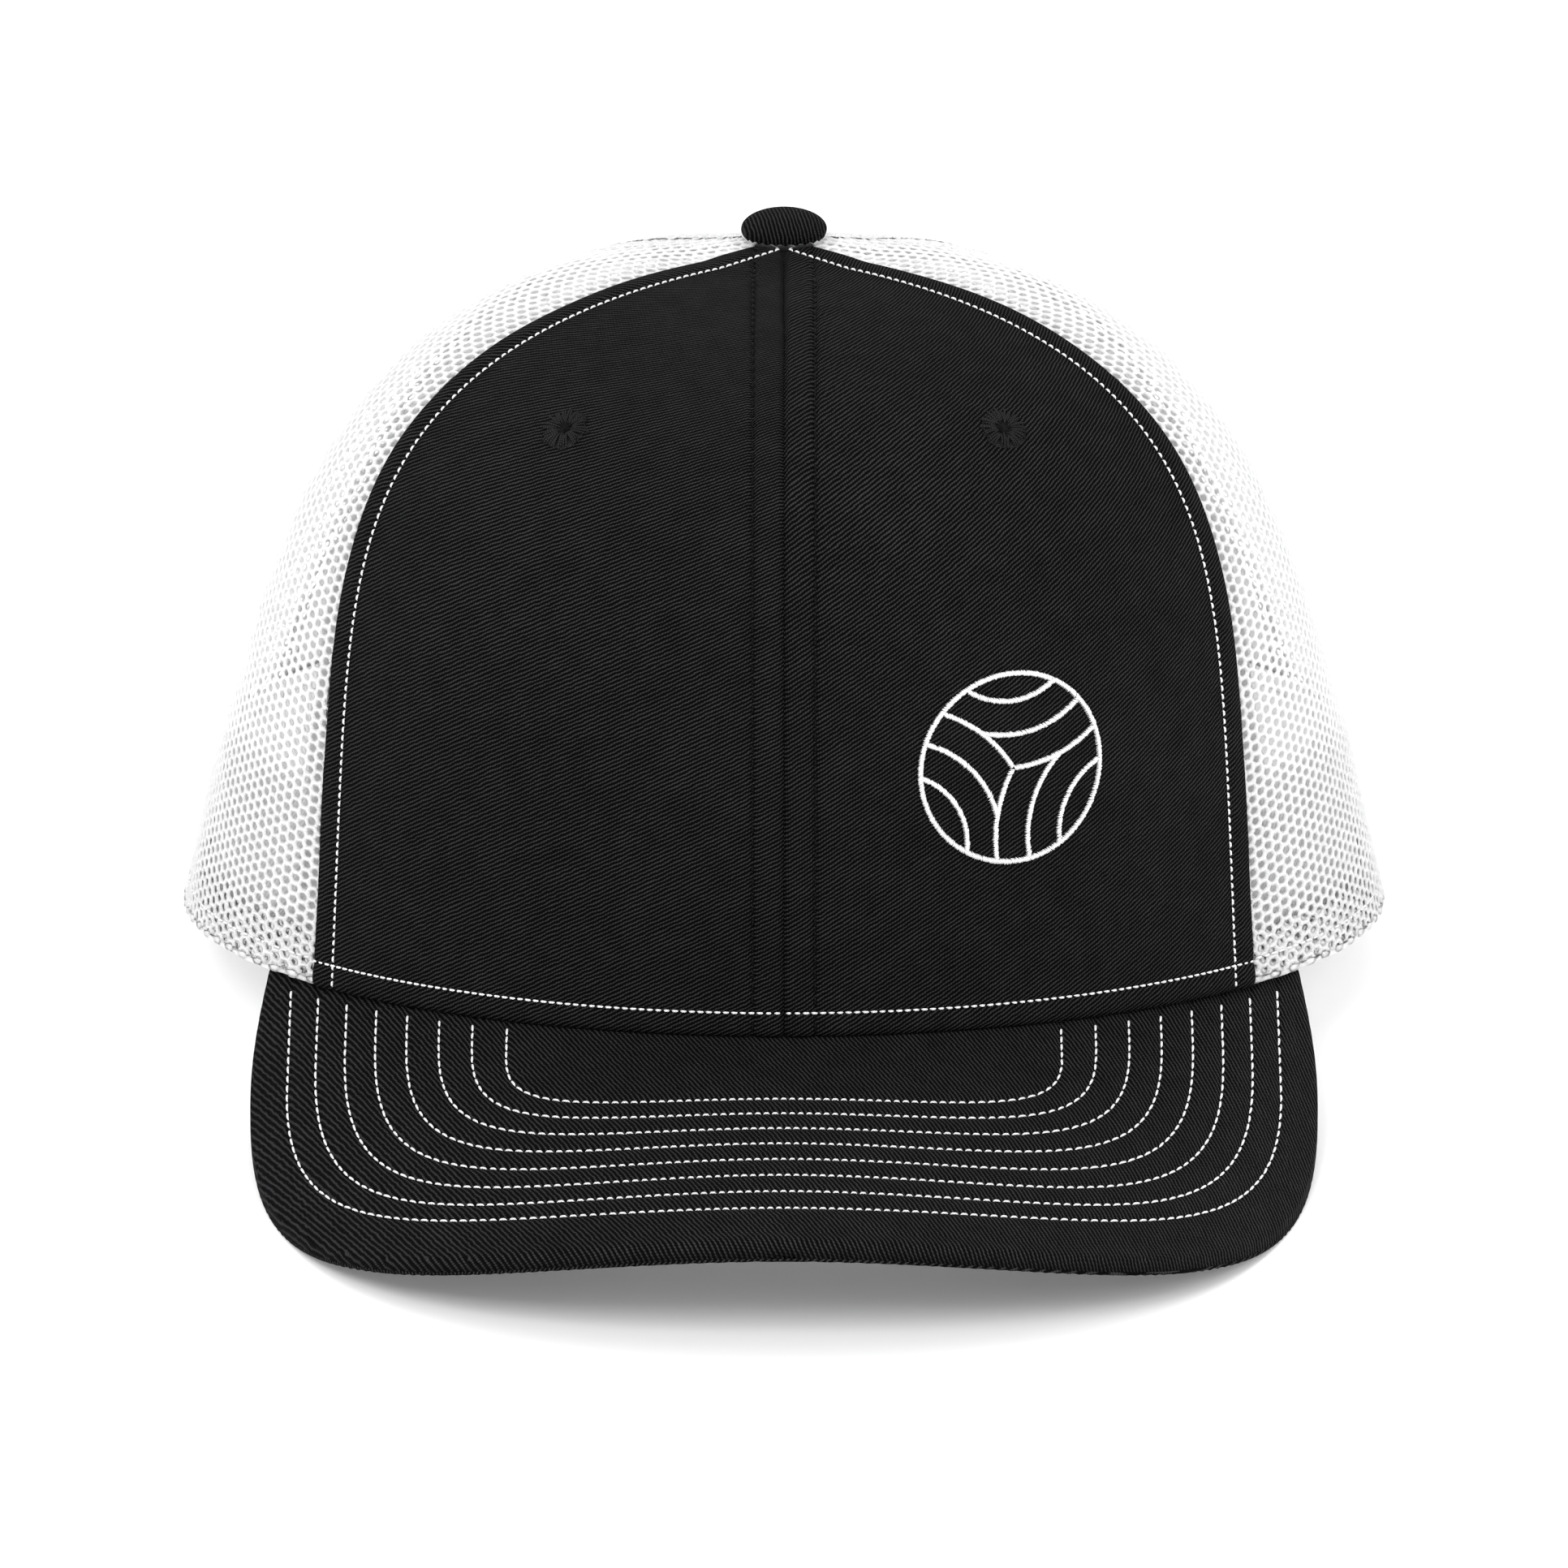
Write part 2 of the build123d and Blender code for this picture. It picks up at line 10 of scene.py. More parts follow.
import bmesh
import bpy
import numpy as np
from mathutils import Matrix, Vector

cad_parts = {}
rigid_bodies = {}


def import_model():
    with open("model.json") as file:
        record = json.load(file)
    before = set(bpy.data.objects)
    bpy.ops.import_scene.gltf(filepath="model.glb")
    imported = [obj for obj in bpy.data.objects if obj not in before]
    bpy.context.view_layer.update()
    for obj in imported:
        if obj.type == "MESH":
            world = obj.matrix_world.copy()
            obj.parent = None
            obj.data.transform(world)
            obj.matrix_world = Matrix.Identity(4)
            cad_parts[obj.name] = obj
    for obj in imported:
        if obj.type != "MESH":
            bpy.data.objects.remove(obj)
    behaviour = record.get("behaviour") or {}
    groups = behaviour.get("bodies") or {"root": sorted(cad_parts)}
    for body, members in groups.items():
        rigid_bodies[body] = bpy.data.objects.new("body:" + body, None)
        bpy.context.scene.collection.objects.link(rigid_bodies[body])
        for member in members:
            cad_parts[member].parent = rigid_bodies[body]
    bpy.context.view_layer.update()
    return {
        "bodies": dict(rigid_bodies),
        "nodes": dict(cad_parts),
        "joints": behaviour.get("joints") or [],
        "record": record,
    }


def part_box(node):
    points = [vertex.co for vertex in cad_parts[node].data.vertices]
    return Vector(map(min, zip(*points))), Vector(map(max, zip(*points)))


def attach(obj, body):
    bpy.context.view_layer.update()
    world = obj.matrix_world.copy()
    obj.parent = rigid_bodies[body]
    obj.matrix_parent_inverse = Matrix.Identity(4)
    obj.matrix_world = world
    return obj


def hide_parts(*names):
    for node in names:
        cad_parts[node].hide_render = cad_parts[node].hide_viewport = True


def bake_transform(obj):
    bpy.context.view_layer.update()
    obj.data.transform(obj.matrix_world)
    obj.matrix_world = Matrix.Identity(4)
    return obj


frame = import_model()
RANDOM = np.random.default_rng(7)

# ---- driving dimensions
HALF_WIDTH, HALF_LENGTH, CROWN_HEIGHT, APEX_Y = 99.7, 89.2, 112.0, -12.0
# the crown's profile at azimuths of 0 (front), 60, 120 and 180 degrees (back)
TAPER = (-0.03, 0.08, 0.265, 0.085)
RISE = (5.7, 5.5, 2.0, 2.2)
ROUNDNESS = (1.9, 2.25, 3.4, 1.8)
FRONT_SEAM, BACK_SEAM = 59.5, 118.0
TOP_HOLE = 4.5               # radius at which the panels end under the button
PEAK, PEAK_REACH = 2.1, 16.0
BACK_SWELL, SWELL_REACH = 1.0, 75.0

VISOR_HALF_WIDTH, VISOR_ROOT_HALF, VISOR_LENGTH = 86.2, 83.7, 68.4
VISOR_SHOULDER, VISOR_POWER = -20.1, 2.19
VISOR_SLOPE, VISOR_CURL, VISOR_TUCK = 0.2, 4.0e-5, 1.8
VISOR_THICK = 2.8
VISOR_ROWS = 8
LEG_STRETCH = 0.75           # how much longer the stitches are where a row runs straight back

ARCH_HALF, ARCH_HEIGHT, ARCH_SHOULDER, BINDING = 43.0, 50.0, 14.0, 7.0

STITCH_PITCH, STITCH_LENGTH, THREAD, STITCH_ARCH = 1.36, 1.04, 0.2, 0.22
LONG_STITCH = {"pitch": 2.0, "length": 1.6}      # on the netting, tapes, binding and strap ends
SEAM_STITCH = {"pitch": 2.2, "length": 1.7}      # beside the front centre seam
BAND_STITCH = {"pitch": 2.4, "length": 1.9}      # on the sweatband
TOPSTITCH = 5.0              # topstitch distance from a seam
BASE_STITCH = 4.0            # topstitch height above the base edge
TWILL_PITCH = 0.62
NET_PITCH, NET_ROW = 2.5, 1.84   # spacing of the net's columns of holes, and of the holes in a column

# ---- cap axes to frame axes
UP = -np.array(frame["joints"][0]["axis"], float)
BASE = np.array(next(m for m in frame["record"]["mounts"] if m["name"] == "head_opening")["pos_m"], float)
TILT = math.atan2(UP[1], UP[2])
TURN = np.array([[1, 0, 0],
                 [0, math.cos(TILT), math.sin(TILT)],
                 [0, -math.sin(TILT), math.cos(TILT)]])


def to_row(points):
    """Cap millimetres to frame metres."""
    return BASE + np.asarray(points, float) @ TURN.T * 0.001


def to_cap(points):
    """Frame metres to cap millimetres."""
    return (np.asarray(points, float) - BASE) @ TURN * 1000


# ---- small helpers
def unit(vectors):
    """The vectors scaled to length 1."""
    return vectors / np.linalg.norm(vectors, axis=-1, keepdims=True)


def run_of(points):
    """Distance along a line of points, from 0 at the first."""
    return np.concatenate([[0], np.cumsum(np.linalg.norm(np.diff(points, axis=0), axis=1))])


def round_turn(turn):
    """Unit directions at angles in radians, as (x, y) rows."""
    return np.stack([np.cos(turn), np.sin(turn)], 1)


def full_turn(count):
    """Angles in radians of places evenly spaced round a circle."""
    return np.linspace(0, 2 * np.pi, count, endpoint=False)


def scatter(spread, *shape):
    """Random amounts about 0, drawn in the order in which the pieces are built."""
    return spread * RANDOM.standard_normal(shape)


def add_object(name, data):
    """Object with the data, linked to the scene."""
    item = bpy.data.objects.new(name, data)
    bpy.context.scene.collection.objects.link(item)
    return item


def pairs(a, b):
    """Two grids, broadcast against each other, as one list of (a, b)."""
    return np.stack(np.broadcast_arrays(a, b), -1).reshape(-1, 2)


# ---- crown surface
def series(values, azimuth):
    """Cosine series through the values at 0, 60, 120 and 180 degrees."""
    a, b, c, d = values
    angle = np.radians(azimuth)
    return ((a + 2 * b + 2 * c + d) / 6 + (a + b - c - d) / 3 * np.cos(angle)
            + (a - b - c + d) / 3 * np.cos(2 * angle) + (a - 2 * b + 2 * c - d) / 6 * np.cos(3 * angle))


def crown_radius(azimuth, s):
    """Distance from the apex axis to the crown's outer surface."""
    east, south = np.sin(np.radians(azimuth)), -np.cos(np.radians(azimuth))
    a = (east / HALF_WIDTH) ** 2 + (south / HALF_LENGTH) ** 2
    b = APEX_Y * south / HALF_LENGTH**2
    c = (APEX_Y / HALF_LENGTH) ** 2 - 1
    base = (np.sqrt(b * b - a * c) - b) / a
    dome = np.clip(1 - np.clip(s, 0, 1) ** series(RISE, azimuth), 1e-9, 1) ** (1 / series(ROUNDNESS, azimuth))
    return base * (1 - series(TAPER, azimuth) * s) * dome


def crown_raw(azimuth, s):
    """Crown surface; the cloth draws up to a low peak where the panels meet under the button."""
    r = crown_radius(azimuth, s)
    angle = np.radians(azimuth)
    peak = PEAK * np.clip(1 - r / PEAK_REACH, 0, 1) ** 1.2
    peak = peak + BACK_SWELL * (0.5 - 0.5 * np.cos(angle)) * np.clip(1 - (r / SWELL_REACH) ** 2, 0, 1)
    return np.stack([r * np.sin(angle), APEX_Y - r * np.cos(angle), CROWN_HEIGHT * s + peak], -1)


def crown(azimuth, s, lift=0.0):
    """(points, outward normals) of the crown at a lift above its outer surface."""
    azimuth, s = np.broadcast_arrays(np.asarray(azimuth, float), np.asarray(s, float))
    p = crown_raw(azimuth, s)
    along = crown_raw(azimuth + 0.05, s) - crown_raw(azimuth - 0.05, s)
    step = np.where(s > 0.5, 1e-4, -1e-4)
    upward = (p - crown_raw(azimuth, s - step)) * np.sign(step)[..., None]
    normal = unit(np.cross(along, upward))
    lift = np.broadcast_to(np.asarray(lift, float), s.shape)
    return p + normal * lift[..., None], normal


def bilinear(table, row, column):
    """Values of a 2-D table at fractional row and column numbers."""
    r = np.clip(row, 0, table.shape[0] - 1.0001)
    c = np.clip(column, 0, table.shape[1] - 1.0001)
    r0, c0 = r.astype(int), c.astype(int)
    fr, fc = r - r0, c - c0
    low = table[r0, c0] * (1 - fc) + table[r0, c0 + 1] * fc
    high = table[r0 + 1, c0] * (1 - fc) + table[r0 + 1, c0 + 1] * fc
    return low * (1 - fr) + high * fr


class Panel:
    """One gore of the crown, in flat coordinates: x across from its middle, y up from its base."""
    ROWS, COLUMNS = 161, 61

    def __init__(self, start, end):
        azimuths = np.linspace(start, end, self.COLUMNS)
        share = np.sin(np.linspace(0, np.pi / 2, 400))
        self.s_table = np.zeros((self.ROWS, self.COLUMNS))
        lengths = []
        for i, azimuth in enumerate(azimuths):
            s = share[crown_radius(azimuth, share) >= TOP_HOLE]
            top = np.linspace(s[-1], 1, 200)
            s = np.append(s, top[crown_radius(azimuth, top) >= TOP_HOLE][-1])
            run = run_of(crown_raw(azimuth, s))
            lengths.append(run[-1])
            self.s_table[:, i] = np.interp(np.linspace(0, run[-1], self.ROWS), run, s)
        self.length = lengths[self.COLUMNS // 2]
        self.az_table = np.zeros((self.ROWS, self.COLUMNS))
        self.half = np.zeros(self.ROWS)
        for j in range(self.ROWS):
            run = run_of(crown_raw(azimuths, self.s_table[j]))
            self.half[j] = run[-1] / 2
            self.az_table[j] = np.interp(np.linspace(0, run[-1], self.COLUMNS), run, azimuths)
        self.start, self.end = start, end

    def half_width(self, y):
        return np.interp(np.asarray(y) / self.length * (self.ROWS - 1), np.arange(self.ROWS), self.half)

    def at(self, x, y, lift=0.0):
        """(points, normals) at flat coordinates x, y."""
        x, y = np.broadcast_arrays(np.asarray(x, float), np.asarray(y, float))
        row = np.clip(y / self.length, 0, 1) * (self.ROWS - 1)
        half = self.half_width(y)
        share = np.clip((x / half + 1) / 2, 0, 1)
        azimuth = bilinear(self.az_table, row, share * (self.COLUMNS - 1))
        place = (azimuth - self.start) / (self.end - self.start) * (self.COLUMNS - 1)
        return crown(azimuth, bilinear(self.s_table, row, place), lift)


def nearest_flat(panel, target):
    """Flat coordinates of the panel's point nearest to a point in cap millimetres."""
    ys = np.linspace(0, panel.length, 160)
    for _ in range(2):
        xs = np.linspace(-1, 1, 121)[:, None] * panel.half_width(ys)[None, :]
        p, _ = panel.at(xs, ys)
        i, j = np.unravel_index(np.argmin(((p - target) ** 2).sum(-1)), xs.shape)
        best = xs[i, j], ys[j]
        ys = np.linspace(max(ys[j] - 2, 0), ys[j] + 2, 160)
    return best


def bump(distance, width):
    return np.exp(-(distance / width) ** 2)


def plateau(distance, edge, soft):
    """1 inside the edge distance and 0 beyond it, with a soft step."""
    return 0.5 - 0.5 * np.tanh((np.abs(distance) - edge) / soft)


# ---- meshes
def make_piece(name, points, faces, material, uv=None, body="crown", replaces=()):
    """Mesh object from cap millimetres, faces as index lists, and one UV (mm) per vertex."""
    mesh = bpy.data.meshes.new(name)
    mesh.from_pydata(to_row(points).tolist(), [], [list(map(int, f)) for f in faces])
    if uv is not None:
        layer = mesh.uv_layers.new(name="cloth")
        corner = np.zeros(len(mesh.loops), int)
        mesh.loops.foreach_get("vertex_index", corner)
        layer.data.foreach_set("uv", np.asarray(uv, float)[corner].ravel())
    mesh.polygons.foreach_set("use_smooth", np.full(len(mesh.polygons), True))
    mesh.materials.append(material)
    mesh.update()
    piece = add_object(name, mesh)
    if body:
        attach(piece, body)
    if replaces:
        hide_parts(*replaces)
    return piece


def shell(outer, inner, keep=None):
    """(points, faces) of a closed shell between two grids; keep masks the cells that exist."""
    n, m = outer.shape[:2]
    if keep is None:
        keep = np.ones((n - 1, m - 1), bool)
    index = np.arange(n * m).reshape(n, m)
    a, b = index[:-1, :-1][keep], index[1:, :-1][keep]
    c, d = index[1:, 1:][keep], index[:-1, 1:][keep]
    top = np.stack([a, b, c, d], 1)
    bottom = top[:, ::-1] + n * m
    edges = np.concatenate([top[:, [0, 1]], top[:, [1, 2]], top[:, [2, 3]], top[:, [3, 0]]])
    key = np.sort(edges, 1)
    code = key[:, 0] * (n * m) + key[:, 1]
    values, counts = np.unique(code, return_counts=True)
    single = np.isin(code, values[counts == 1])
    walls = [[q, p, p + n * m, q + n * m] for p, q in edges[single]]
    points = np.concatenate([outer.reshape(-1, 3), inner.reshape(-1, 3)])
    return compact(points, top.tolist() + bottom.tolist() + walls)


def compact(points, faces):
    """Drops points that no face uses; returns points, faces and the indices kept."""
    used = np.unique(np.concatenate([np.asarray(f) for f in faces]) if faces else [])
    place = np.full(len(points), -1)
    place[used] = np.arange(len(used))
    return points[used], [[int(place[i]) for i in f] for f in faces], used


def tube_faces(n, m, closed=False):
    """Faces of a tube of n loops of m points, capped unless it closes."""
    i, k = np.indices((n if closed else n - 1, m)).reshape(2, -1)
    j, l = (i + 1) % n, (k + 1) % m
    faces = np.stack([i * m + k, i * m + l, j * m + l, j * m + k], 1).tolist()
    return faces if closed else faces + [list(range(m))[::-1], list(range((n - 1) * m, n * m))]


def sweep(sections, closed=False):
    """(points, faces) of a tube through closed loops of equal size, capped unless it closes."""
    sections = np.asarray(sections)
    return sections.reshape(-1, 3), tube_faces(*sections.shape[:2], closed)


def tube_piece(name, sections, uv, material, node):
    """Piece swept through loops, to stand for a CAD node."""
    points, faces = sweep(sections)
    make_piece(name, points, faces, material, uv, replaces=[node])


def rounded_loop(width, thick, points=16, power=4):
    """Closed loop of a flat strip's cross-section, (across, lift), with rounded edges."""
    turn = full_turn(points)
    c, s = np.cos(turn), np.sin(turn)
    return np.stack([width / 2 * np.sign(c) * np.abs(c) ** (2 / power),
                     thick / 2 * np.sign(s) * np.abs(s) ** (2 / power)], 1)


def resample(path, step, stretch=1.0):
    """Fractional indices of places a step apart along a polyline; stretch widens the step by place."""
    length = np.linalg.norm(np.diff(path, axis=0), axis=1)
    run = np.concatenate([[0], np.cumsum(length / np.broadcast_to(stretch, len(path))[1:])])
    count = max(int(round(run[-1] / step)), 1)
    wanted = (np.arange(count) + 0.5) * run[-1] / count
    return np.interp(wanted, run, np.arange(len(path)))


def pick(array, where):
    low = np.clip(np.floor(where).astype(int), 0, len(array) - 2)
    share = (where - low)[:, None]
    return array[low] * (1 - share) + array[low + 1] * share


def threads(centres, along, normal, length, radius, arch=0.3, flat=0.85, sides=7, rings=7):
    """(points, faces, uv) of one short thread per centre, arched over the cloth."""
    along = unit(along)
    side = unit(np.cross(normal, along))
    up = np.cross(along, side)
    u = np.linspace(-1, 1, rings)
    profile = np.sqrt(np.clip(1 - np.abs(u) ** 3.2, 0.02, 1))
    turn = full_turn(sides)
    length = np.broadcast_to(length, len(centres))[:, None, None, None]
    rise = (arch * (1 - u**4) - 0.1)[None, :, None, None]
    ring = radius * profile[:, None]
    out = (ring * np.cos(turn)[None, :] * flat)[None, :, :, None]
    across = (ring * np.sin(turn)[None, :])[None, :, :, None]
    points = (centres[:, None, None, :] + along[:, None, None, :] * (u[None, :, None, None] * length / 2)
              + up[:, None, None, :] * (rise + out) + side[:, None, None, :] * across)
    points = points.reshape(-1, 3)
    tube = tube_faces(rings, sides)
    faces = [[i + start for i in face] for start in range(0, len(points), rings * sides) for face in tube]
    uv = np.zeros((len(centres), rings, sides, 2))
    uv[..., 0] = (u * 0.5 + 0.5)[None, :, None] * length[:, :, :, 0]
    uv[..., 1] = (np.arange(sides) / sides)[None, None, :]
    return points, faces, uv.reshape(-1, 2)


def join(parts):
    """One (points, faces, uv) from several."""
    points, faces, uvs, count = [], [], [], 0
    for p, f, uv in parts:
        points.append(p)
        faces += [[i + count for i in face] for face in f]
        uvs.append(uv)
        count += len(p)
    return np.concatenate(points), faces, np.concatenate(uvs)


def heading(path, where, step):
    """Direction of a path at fractional indices, not scaled, from the points a step to each side."""
    last = len(path) - 1
    return pick(path, np.clip(where + step, 0, last)) - pick(path, np.clip(where - step, 0, last))


def stitch_row(path, normals, pitch=STITCH_PITCH, length=STITCH_LENGTH, stretch=1.0):
    """Stitches along a path of points with normals; a little uneven in length and direction."""
    stretch = np.broadcast_to(stretch, len(path))
    where = resample(path, pitch, stretch)
    centre, normal = pick(path, where), pick(normals, where)
    along = heading(path, where, 0.3)
    jitter = 1 + scatter(0.05, len(where))
    along = along + np.cross(normal, along) * scatter(0.035, len(where), 1)
    length = length * jitter * np.interp(where, np.arange(len(path)), stretch)
    return threads(centre, along, normal, length, THREAD, STITCH_ARCH)


def thread_piece(name, rows, material, replaces=()):
    """Piece made of rows of thread, or of other parts, each (points, faces, uv)."""
    points, faces, uv = join(rows)
    return make_piece(name, points, faces, material, uv, replaces=replaces)


# ---- materials
class Nodes:
    """A material's node tree, with short calls for the nodes used here."""

    def __init__(self, name):
        self.material = bpy.data.materials.new(name)
        self.material.use_nodes = True
        self.tree = self.material.node_tree
        self.shader = self.tree.nodes["Principled BSDF"]

    def new(self, kind, **values):
        node = self.tree.nodes.new(kind)
        for key, value in values.items():
            setattr(node, key, value)
        return node

    def link(self, source, target):
        self.tree.links.new(source, target)

    def shade(self, values):
        """Sets constants on the shader's own sockets."""
        for name, value in values.items():
            self.shader.inputs[name].default_value = value

    def put(self, value, socket):
        if isinstance(value, (int, float)):
            socket.default_value = value
        else:
            self.link(value, socket)

    def math(self, operation, a, b=0.0, c=0.0, clamp=False):
        node = self.new("ShaderNodeMath", operation=operation, use_clamp=clamp)
        for value, socket in zip((a, b, c), node.inputs):
            self.put(value, socket)
        return node.outputs[0]

    def times(self, a, b):
        return self.math("MULTIPLY", a, b)

    def plus(self, base, value, share=1.0, clamp=False):
        """base + value * share"""
        return self.math("MULTIPLY_ADD", value, share, base, clamp)

    def spread(self, scale, detail, share):
        """Noise about 0, from -share / 2 to share / 2."""
        return self.times(self.math("SUBTRACT", self.noise(scale, detail), 0.5), share)

    def cloth(self):
        """u and v of the cloth's flat coordinates, in millimetres."""
        split = self.new("ShaderNodeSeparateXYZ")
        self.link(self.new("ShaderNodeUVMap", uv_map="cloth").outputs[0], split.inputs[0])
        return split.outputs[0], split.outputs[1]

    def turned(self, degrees_turned):
        """The cloth coordinates turned by an angle."""
        u, v = self.cloth()
        c, s = math.cos(math.radians(degrees_turned)), math.sin(math.radians(degrees_turned))
        across = self.math("ADD", self.times(u, c), self.times(v, s))
        along = self.math("SUBTRACT", self.times(v, c), self.times(u, s))
        return across, along

    def wave(self, value, pitch):
        """0 to 1 and back once a pitch."""
        sine = self.math("SINE", self.times(value, 2 * math.pi / pitch))
        return self.plus(0.5, sine, 0.5)

    def noise(self, scale, detail=2.0, source=None):
        """Noise from 0 to 1; the scale is in waves a metre on the object, or on a given vector."""
        node = self.new("ShaderNodeTexNoise")
        node.inputs["Scale"].default_value = scale
        node.inputs["Detail"].default_value = detail
        if source is None:
            source = self.new("ShaderNodeTexCoord").outputs["Object"]
        self.link(source, node.inputs["Vector"])
        return node.outputs[0]

    def ramp(self, value, low, high):
        """Colour between two colours."""
        mix = self.new("ShaderNodeMix", data_type="RGBA")
        self.put(value, mix.inputs[0])
        mix.inputs[6].default_value = (*low, 1)
        mix.inputs[7].default_value = (*high, 1)
        return mix.outputs[2]

    def finish(self, colour, height, depth, roughness, sheen=0.0, specular=0.3, metallic=0.0,
               rough_map=None):
        """Joins the nodes to the shader; the depth is the bump's, in metres."""
        self.link(colour, self.shader.inputs["Base Color"])
        node = self.new("ShaderNodeBump")
        node.inputs["Distance"].default_value = depth
        node.inputs["Strength"].default_value = 1.0
        self.link(height, node.inputs["Height"])
        self.link(node.outputs[0], self.shader.inputs["Normal"])
        self.shade({"Roughness": roughness, "Sheen Weight": sheen, "Sheen Roughness": 0.5,
                    "Specular IOR Level": specular, "Metallic": metallic})
        if rough_map is not None:
            self.link(rough_map, self.shader.inputs["Roughness"])
        return self.material


def twill(name, angle, dark, light, pitch=TWILL_PITCH, shade=0.17, contrast=1.0, depth=0.00014):
    """Woven twill: diagonal ridges at an angle, each broken into short floats; the colour follows their
    height, with painted shade in the valleys and painted highlight on the tops.
    """
    n = Nodes(name)
    _, across = n.turned(angle)
    ridge = n.wave(n.math("ADD", across, n.spread(700, 3, 0.45)), pitch)
    step, _ = n.turned(angle - 32)
    floats = n.wave(step, pitch * 0.7)
    height = n.times(ridge, n.plus(0.65, floats, 0.35))
    height = n.plus(height, n.noise(3600, 3), 0.35)
    # painted shade and highlight: the tone follows the ridges' height, dark in the valleys and light on the
    # tops; shade is the height below which it is darkest, and contrast sets its spread
    tone = n.times(n.math("SUBTRACT", height, shade), contrast)
    slubs, patches = n.spread(260, 2, 0.4), n.spread(30, 3, 0.25)
    tone = n.plus(n.plus(tone, slubs), patches, clamp=True)
    rough = n.plus(0.97, ridge, -0.1)
    return n.finish(n.ramp(tone, dark, light), height, depth, 0.92, specular=0.06, rough_map=rough)


def plain_weave(name, pitch, dark, light, depth=0.00012, sheen=0.1):
    """Plain weave: over and under in both directions; the colour follows the weave's height, with painted
    shade in its hollows.
    """
    n = Nodes(name)
    u, v = n.cloth()
    warp, weft = n.wave(u, pitch), n.wave(v, pitch)
    check = n.times(n.math("SUBTRACT", warp, 0.5), n.math("SUBTRACT", weft, 0.5))
    height = n.plus(n.plus(0.5, check, 2.0), n.noise(3500, 2), 0.25)
    # painted shade: the tone follows the weave's height, darker in the hollows between the crossings
    tone = n.plus(n.times(height, 0.7), n.spread(60, 3, 0.5), clamp=True)
    return n.finish(n.ramp(tone, dark, light), height, depth, 0.85, sheen=sheen)


def thread_finish(name, dark, light, specular=0.4, sheen=0.15):
    """Twisted polyester sewing thread, with painted shade in the grooves of its twist."""
    n = Nodes(name)
    u, v = n.cloth()
    twist = n.wave(n.math("ADD", n.math("DIVIDE", u, 0.42), v), 1.0)
    height = n.plus(twist, n.noise(6000, 1), 0.2)
    # painted shade: the tone follows the twist, darker in the grooves between the plies
    tone = n.plus(n.times(twist, 0.75), n.noise(300, 2), 0.25, clamp=True)
    return n.finish(n.ramp(tone, dark, light), height, 0.00005, 0.5, sheen=sheen, specular=specular)


def net_finish(name):
    """Knitted yarn of the netting, which lets light through; its colour carries painted shade where the loops
    and strands dip.
    """
    n = Nodes(name)
    u, v = n.cloth()
    loop = n.wave(n.plus(v, n.wave(u, 0.5), 0.5), 0.42)
    strand = n.wave(n.plus(u, v, 0.4), 0.34)
    height = n.math("ADD", n.times(loop, 0.6), n.times(strand, 0.4))
    height = n.plus(height, n.noise(5000, 1), 0.3)
    # painted shade: the tone follows the yarn's height, darker where the loops and strands dip
    tone = n.plus(n.times(height, 0.6), n.noise(90, 2), 0.3, clamp=True)
    n.shade({"Subsurface Weight": 1.0, "Subsurface Radius": (1, 1, 1), "Subsurface Scale": 0.002})
    colour = n.ramp(tone, (0.88, 0.88, 0.885), (0.97, 0.97, 0.97))
    return n.finish(colour, height, 0.0001, 0.6, specular=0.15)


def plastic(name, dark, light, roughness):
    """Moulded plastic with a fine satin grain."""
    n = Nodes(name)
    grain = n.noise(1800, 3)
    height = n.plus(grain, n.noise(160, 2), 0.5)
    rough = n.plus(roughness - 0.1, grain, 0.2)
    colour = n.ramp(n.noise(70, 3), dark, light)
    return n.finish(colour, height, 0.00003, roughness, specular=0.5, rough_map=rough)


def metal(name):
    """Pressed steel with rolling marks."""
    n = Nodes(name)
    stretch = n.new("ShaderNodeMapping")
    stretch.inputs["Scale"].default_value = (1, 12, 12)
    n.link(n.new("ShaderNodeTexCoord").outputs["Object"], stretch.inputs["Vector"])
    grain = n.noise(300, 3, stretch.outputs[0])
    rough = n.plus(0.25, grain, 0.25)
    colour = n.ramp(grain, (0.45, 0.45, 0.46), (0.68, 0.68, 0.7))
    return n.finish(colour, grain, 0.00001, 0.35, metallic=1.0, rough_map=rough)


BLACK_LOW, BLACK_HIGH = (0.0006, 0.0006, 0.0007), (0.038, 0.038, 0.0398)
# shade and contrast set how strongly the twill's painted shade and highlight follow its ridges
BLACK_CLOTH = {"shade": 0.55, "contrast": 1.5, "depth": 0.00022}
WHITE_LOW, WHITE_HIGH = (0.68, 0.68, 0.69), (0.85, 0.85, 0.85)
TWILL_LEFT = twill("twill_front_left", 32, BLACK_LOW, BLACK_HIGH, **BLACK_CLOTH)
TWILL_RIGHT = twill("twill_front_right", 28, BLACK_LOW, BLACK_HIGH, **BLACK_CLOTH)
TWILL_VISOR = twill("twill_visor", -66, BLACK_LOW, BLACK_HIGH, 0.7, **BLACK_CLOTH)
TWILL_UNDER = twill("twill_visor_under", 42, BLACK_LOW, BLACK_HIGH, 0.7, **BLACK_CLOTH)
TWILL_BUTTON = twill("twill_button", 82, BLACK_LOW, BLACK_HIGH, **BLACK_CLOTH)
BUCKRAM_WEAVE = plain_weave("buckram_weave", 0.9, (0.72, 0.72, 0.7), (0.92, 0.92, 0.9), 0.0003)
TAPE_WEAVE = plain_weave("tape_weave", 0.5, WHITE_LOW, WHITE_HIGH)
BAND_TWILL = twill("sweatband_twill", 45, (0.74, 0.74, 0.75), (0.93, 0.93, 0.93), 0.7)
BINDING_WEAVE = plain_weave("binding_weave", 0.55, WHITE_LOW, WHITE_HIGH)
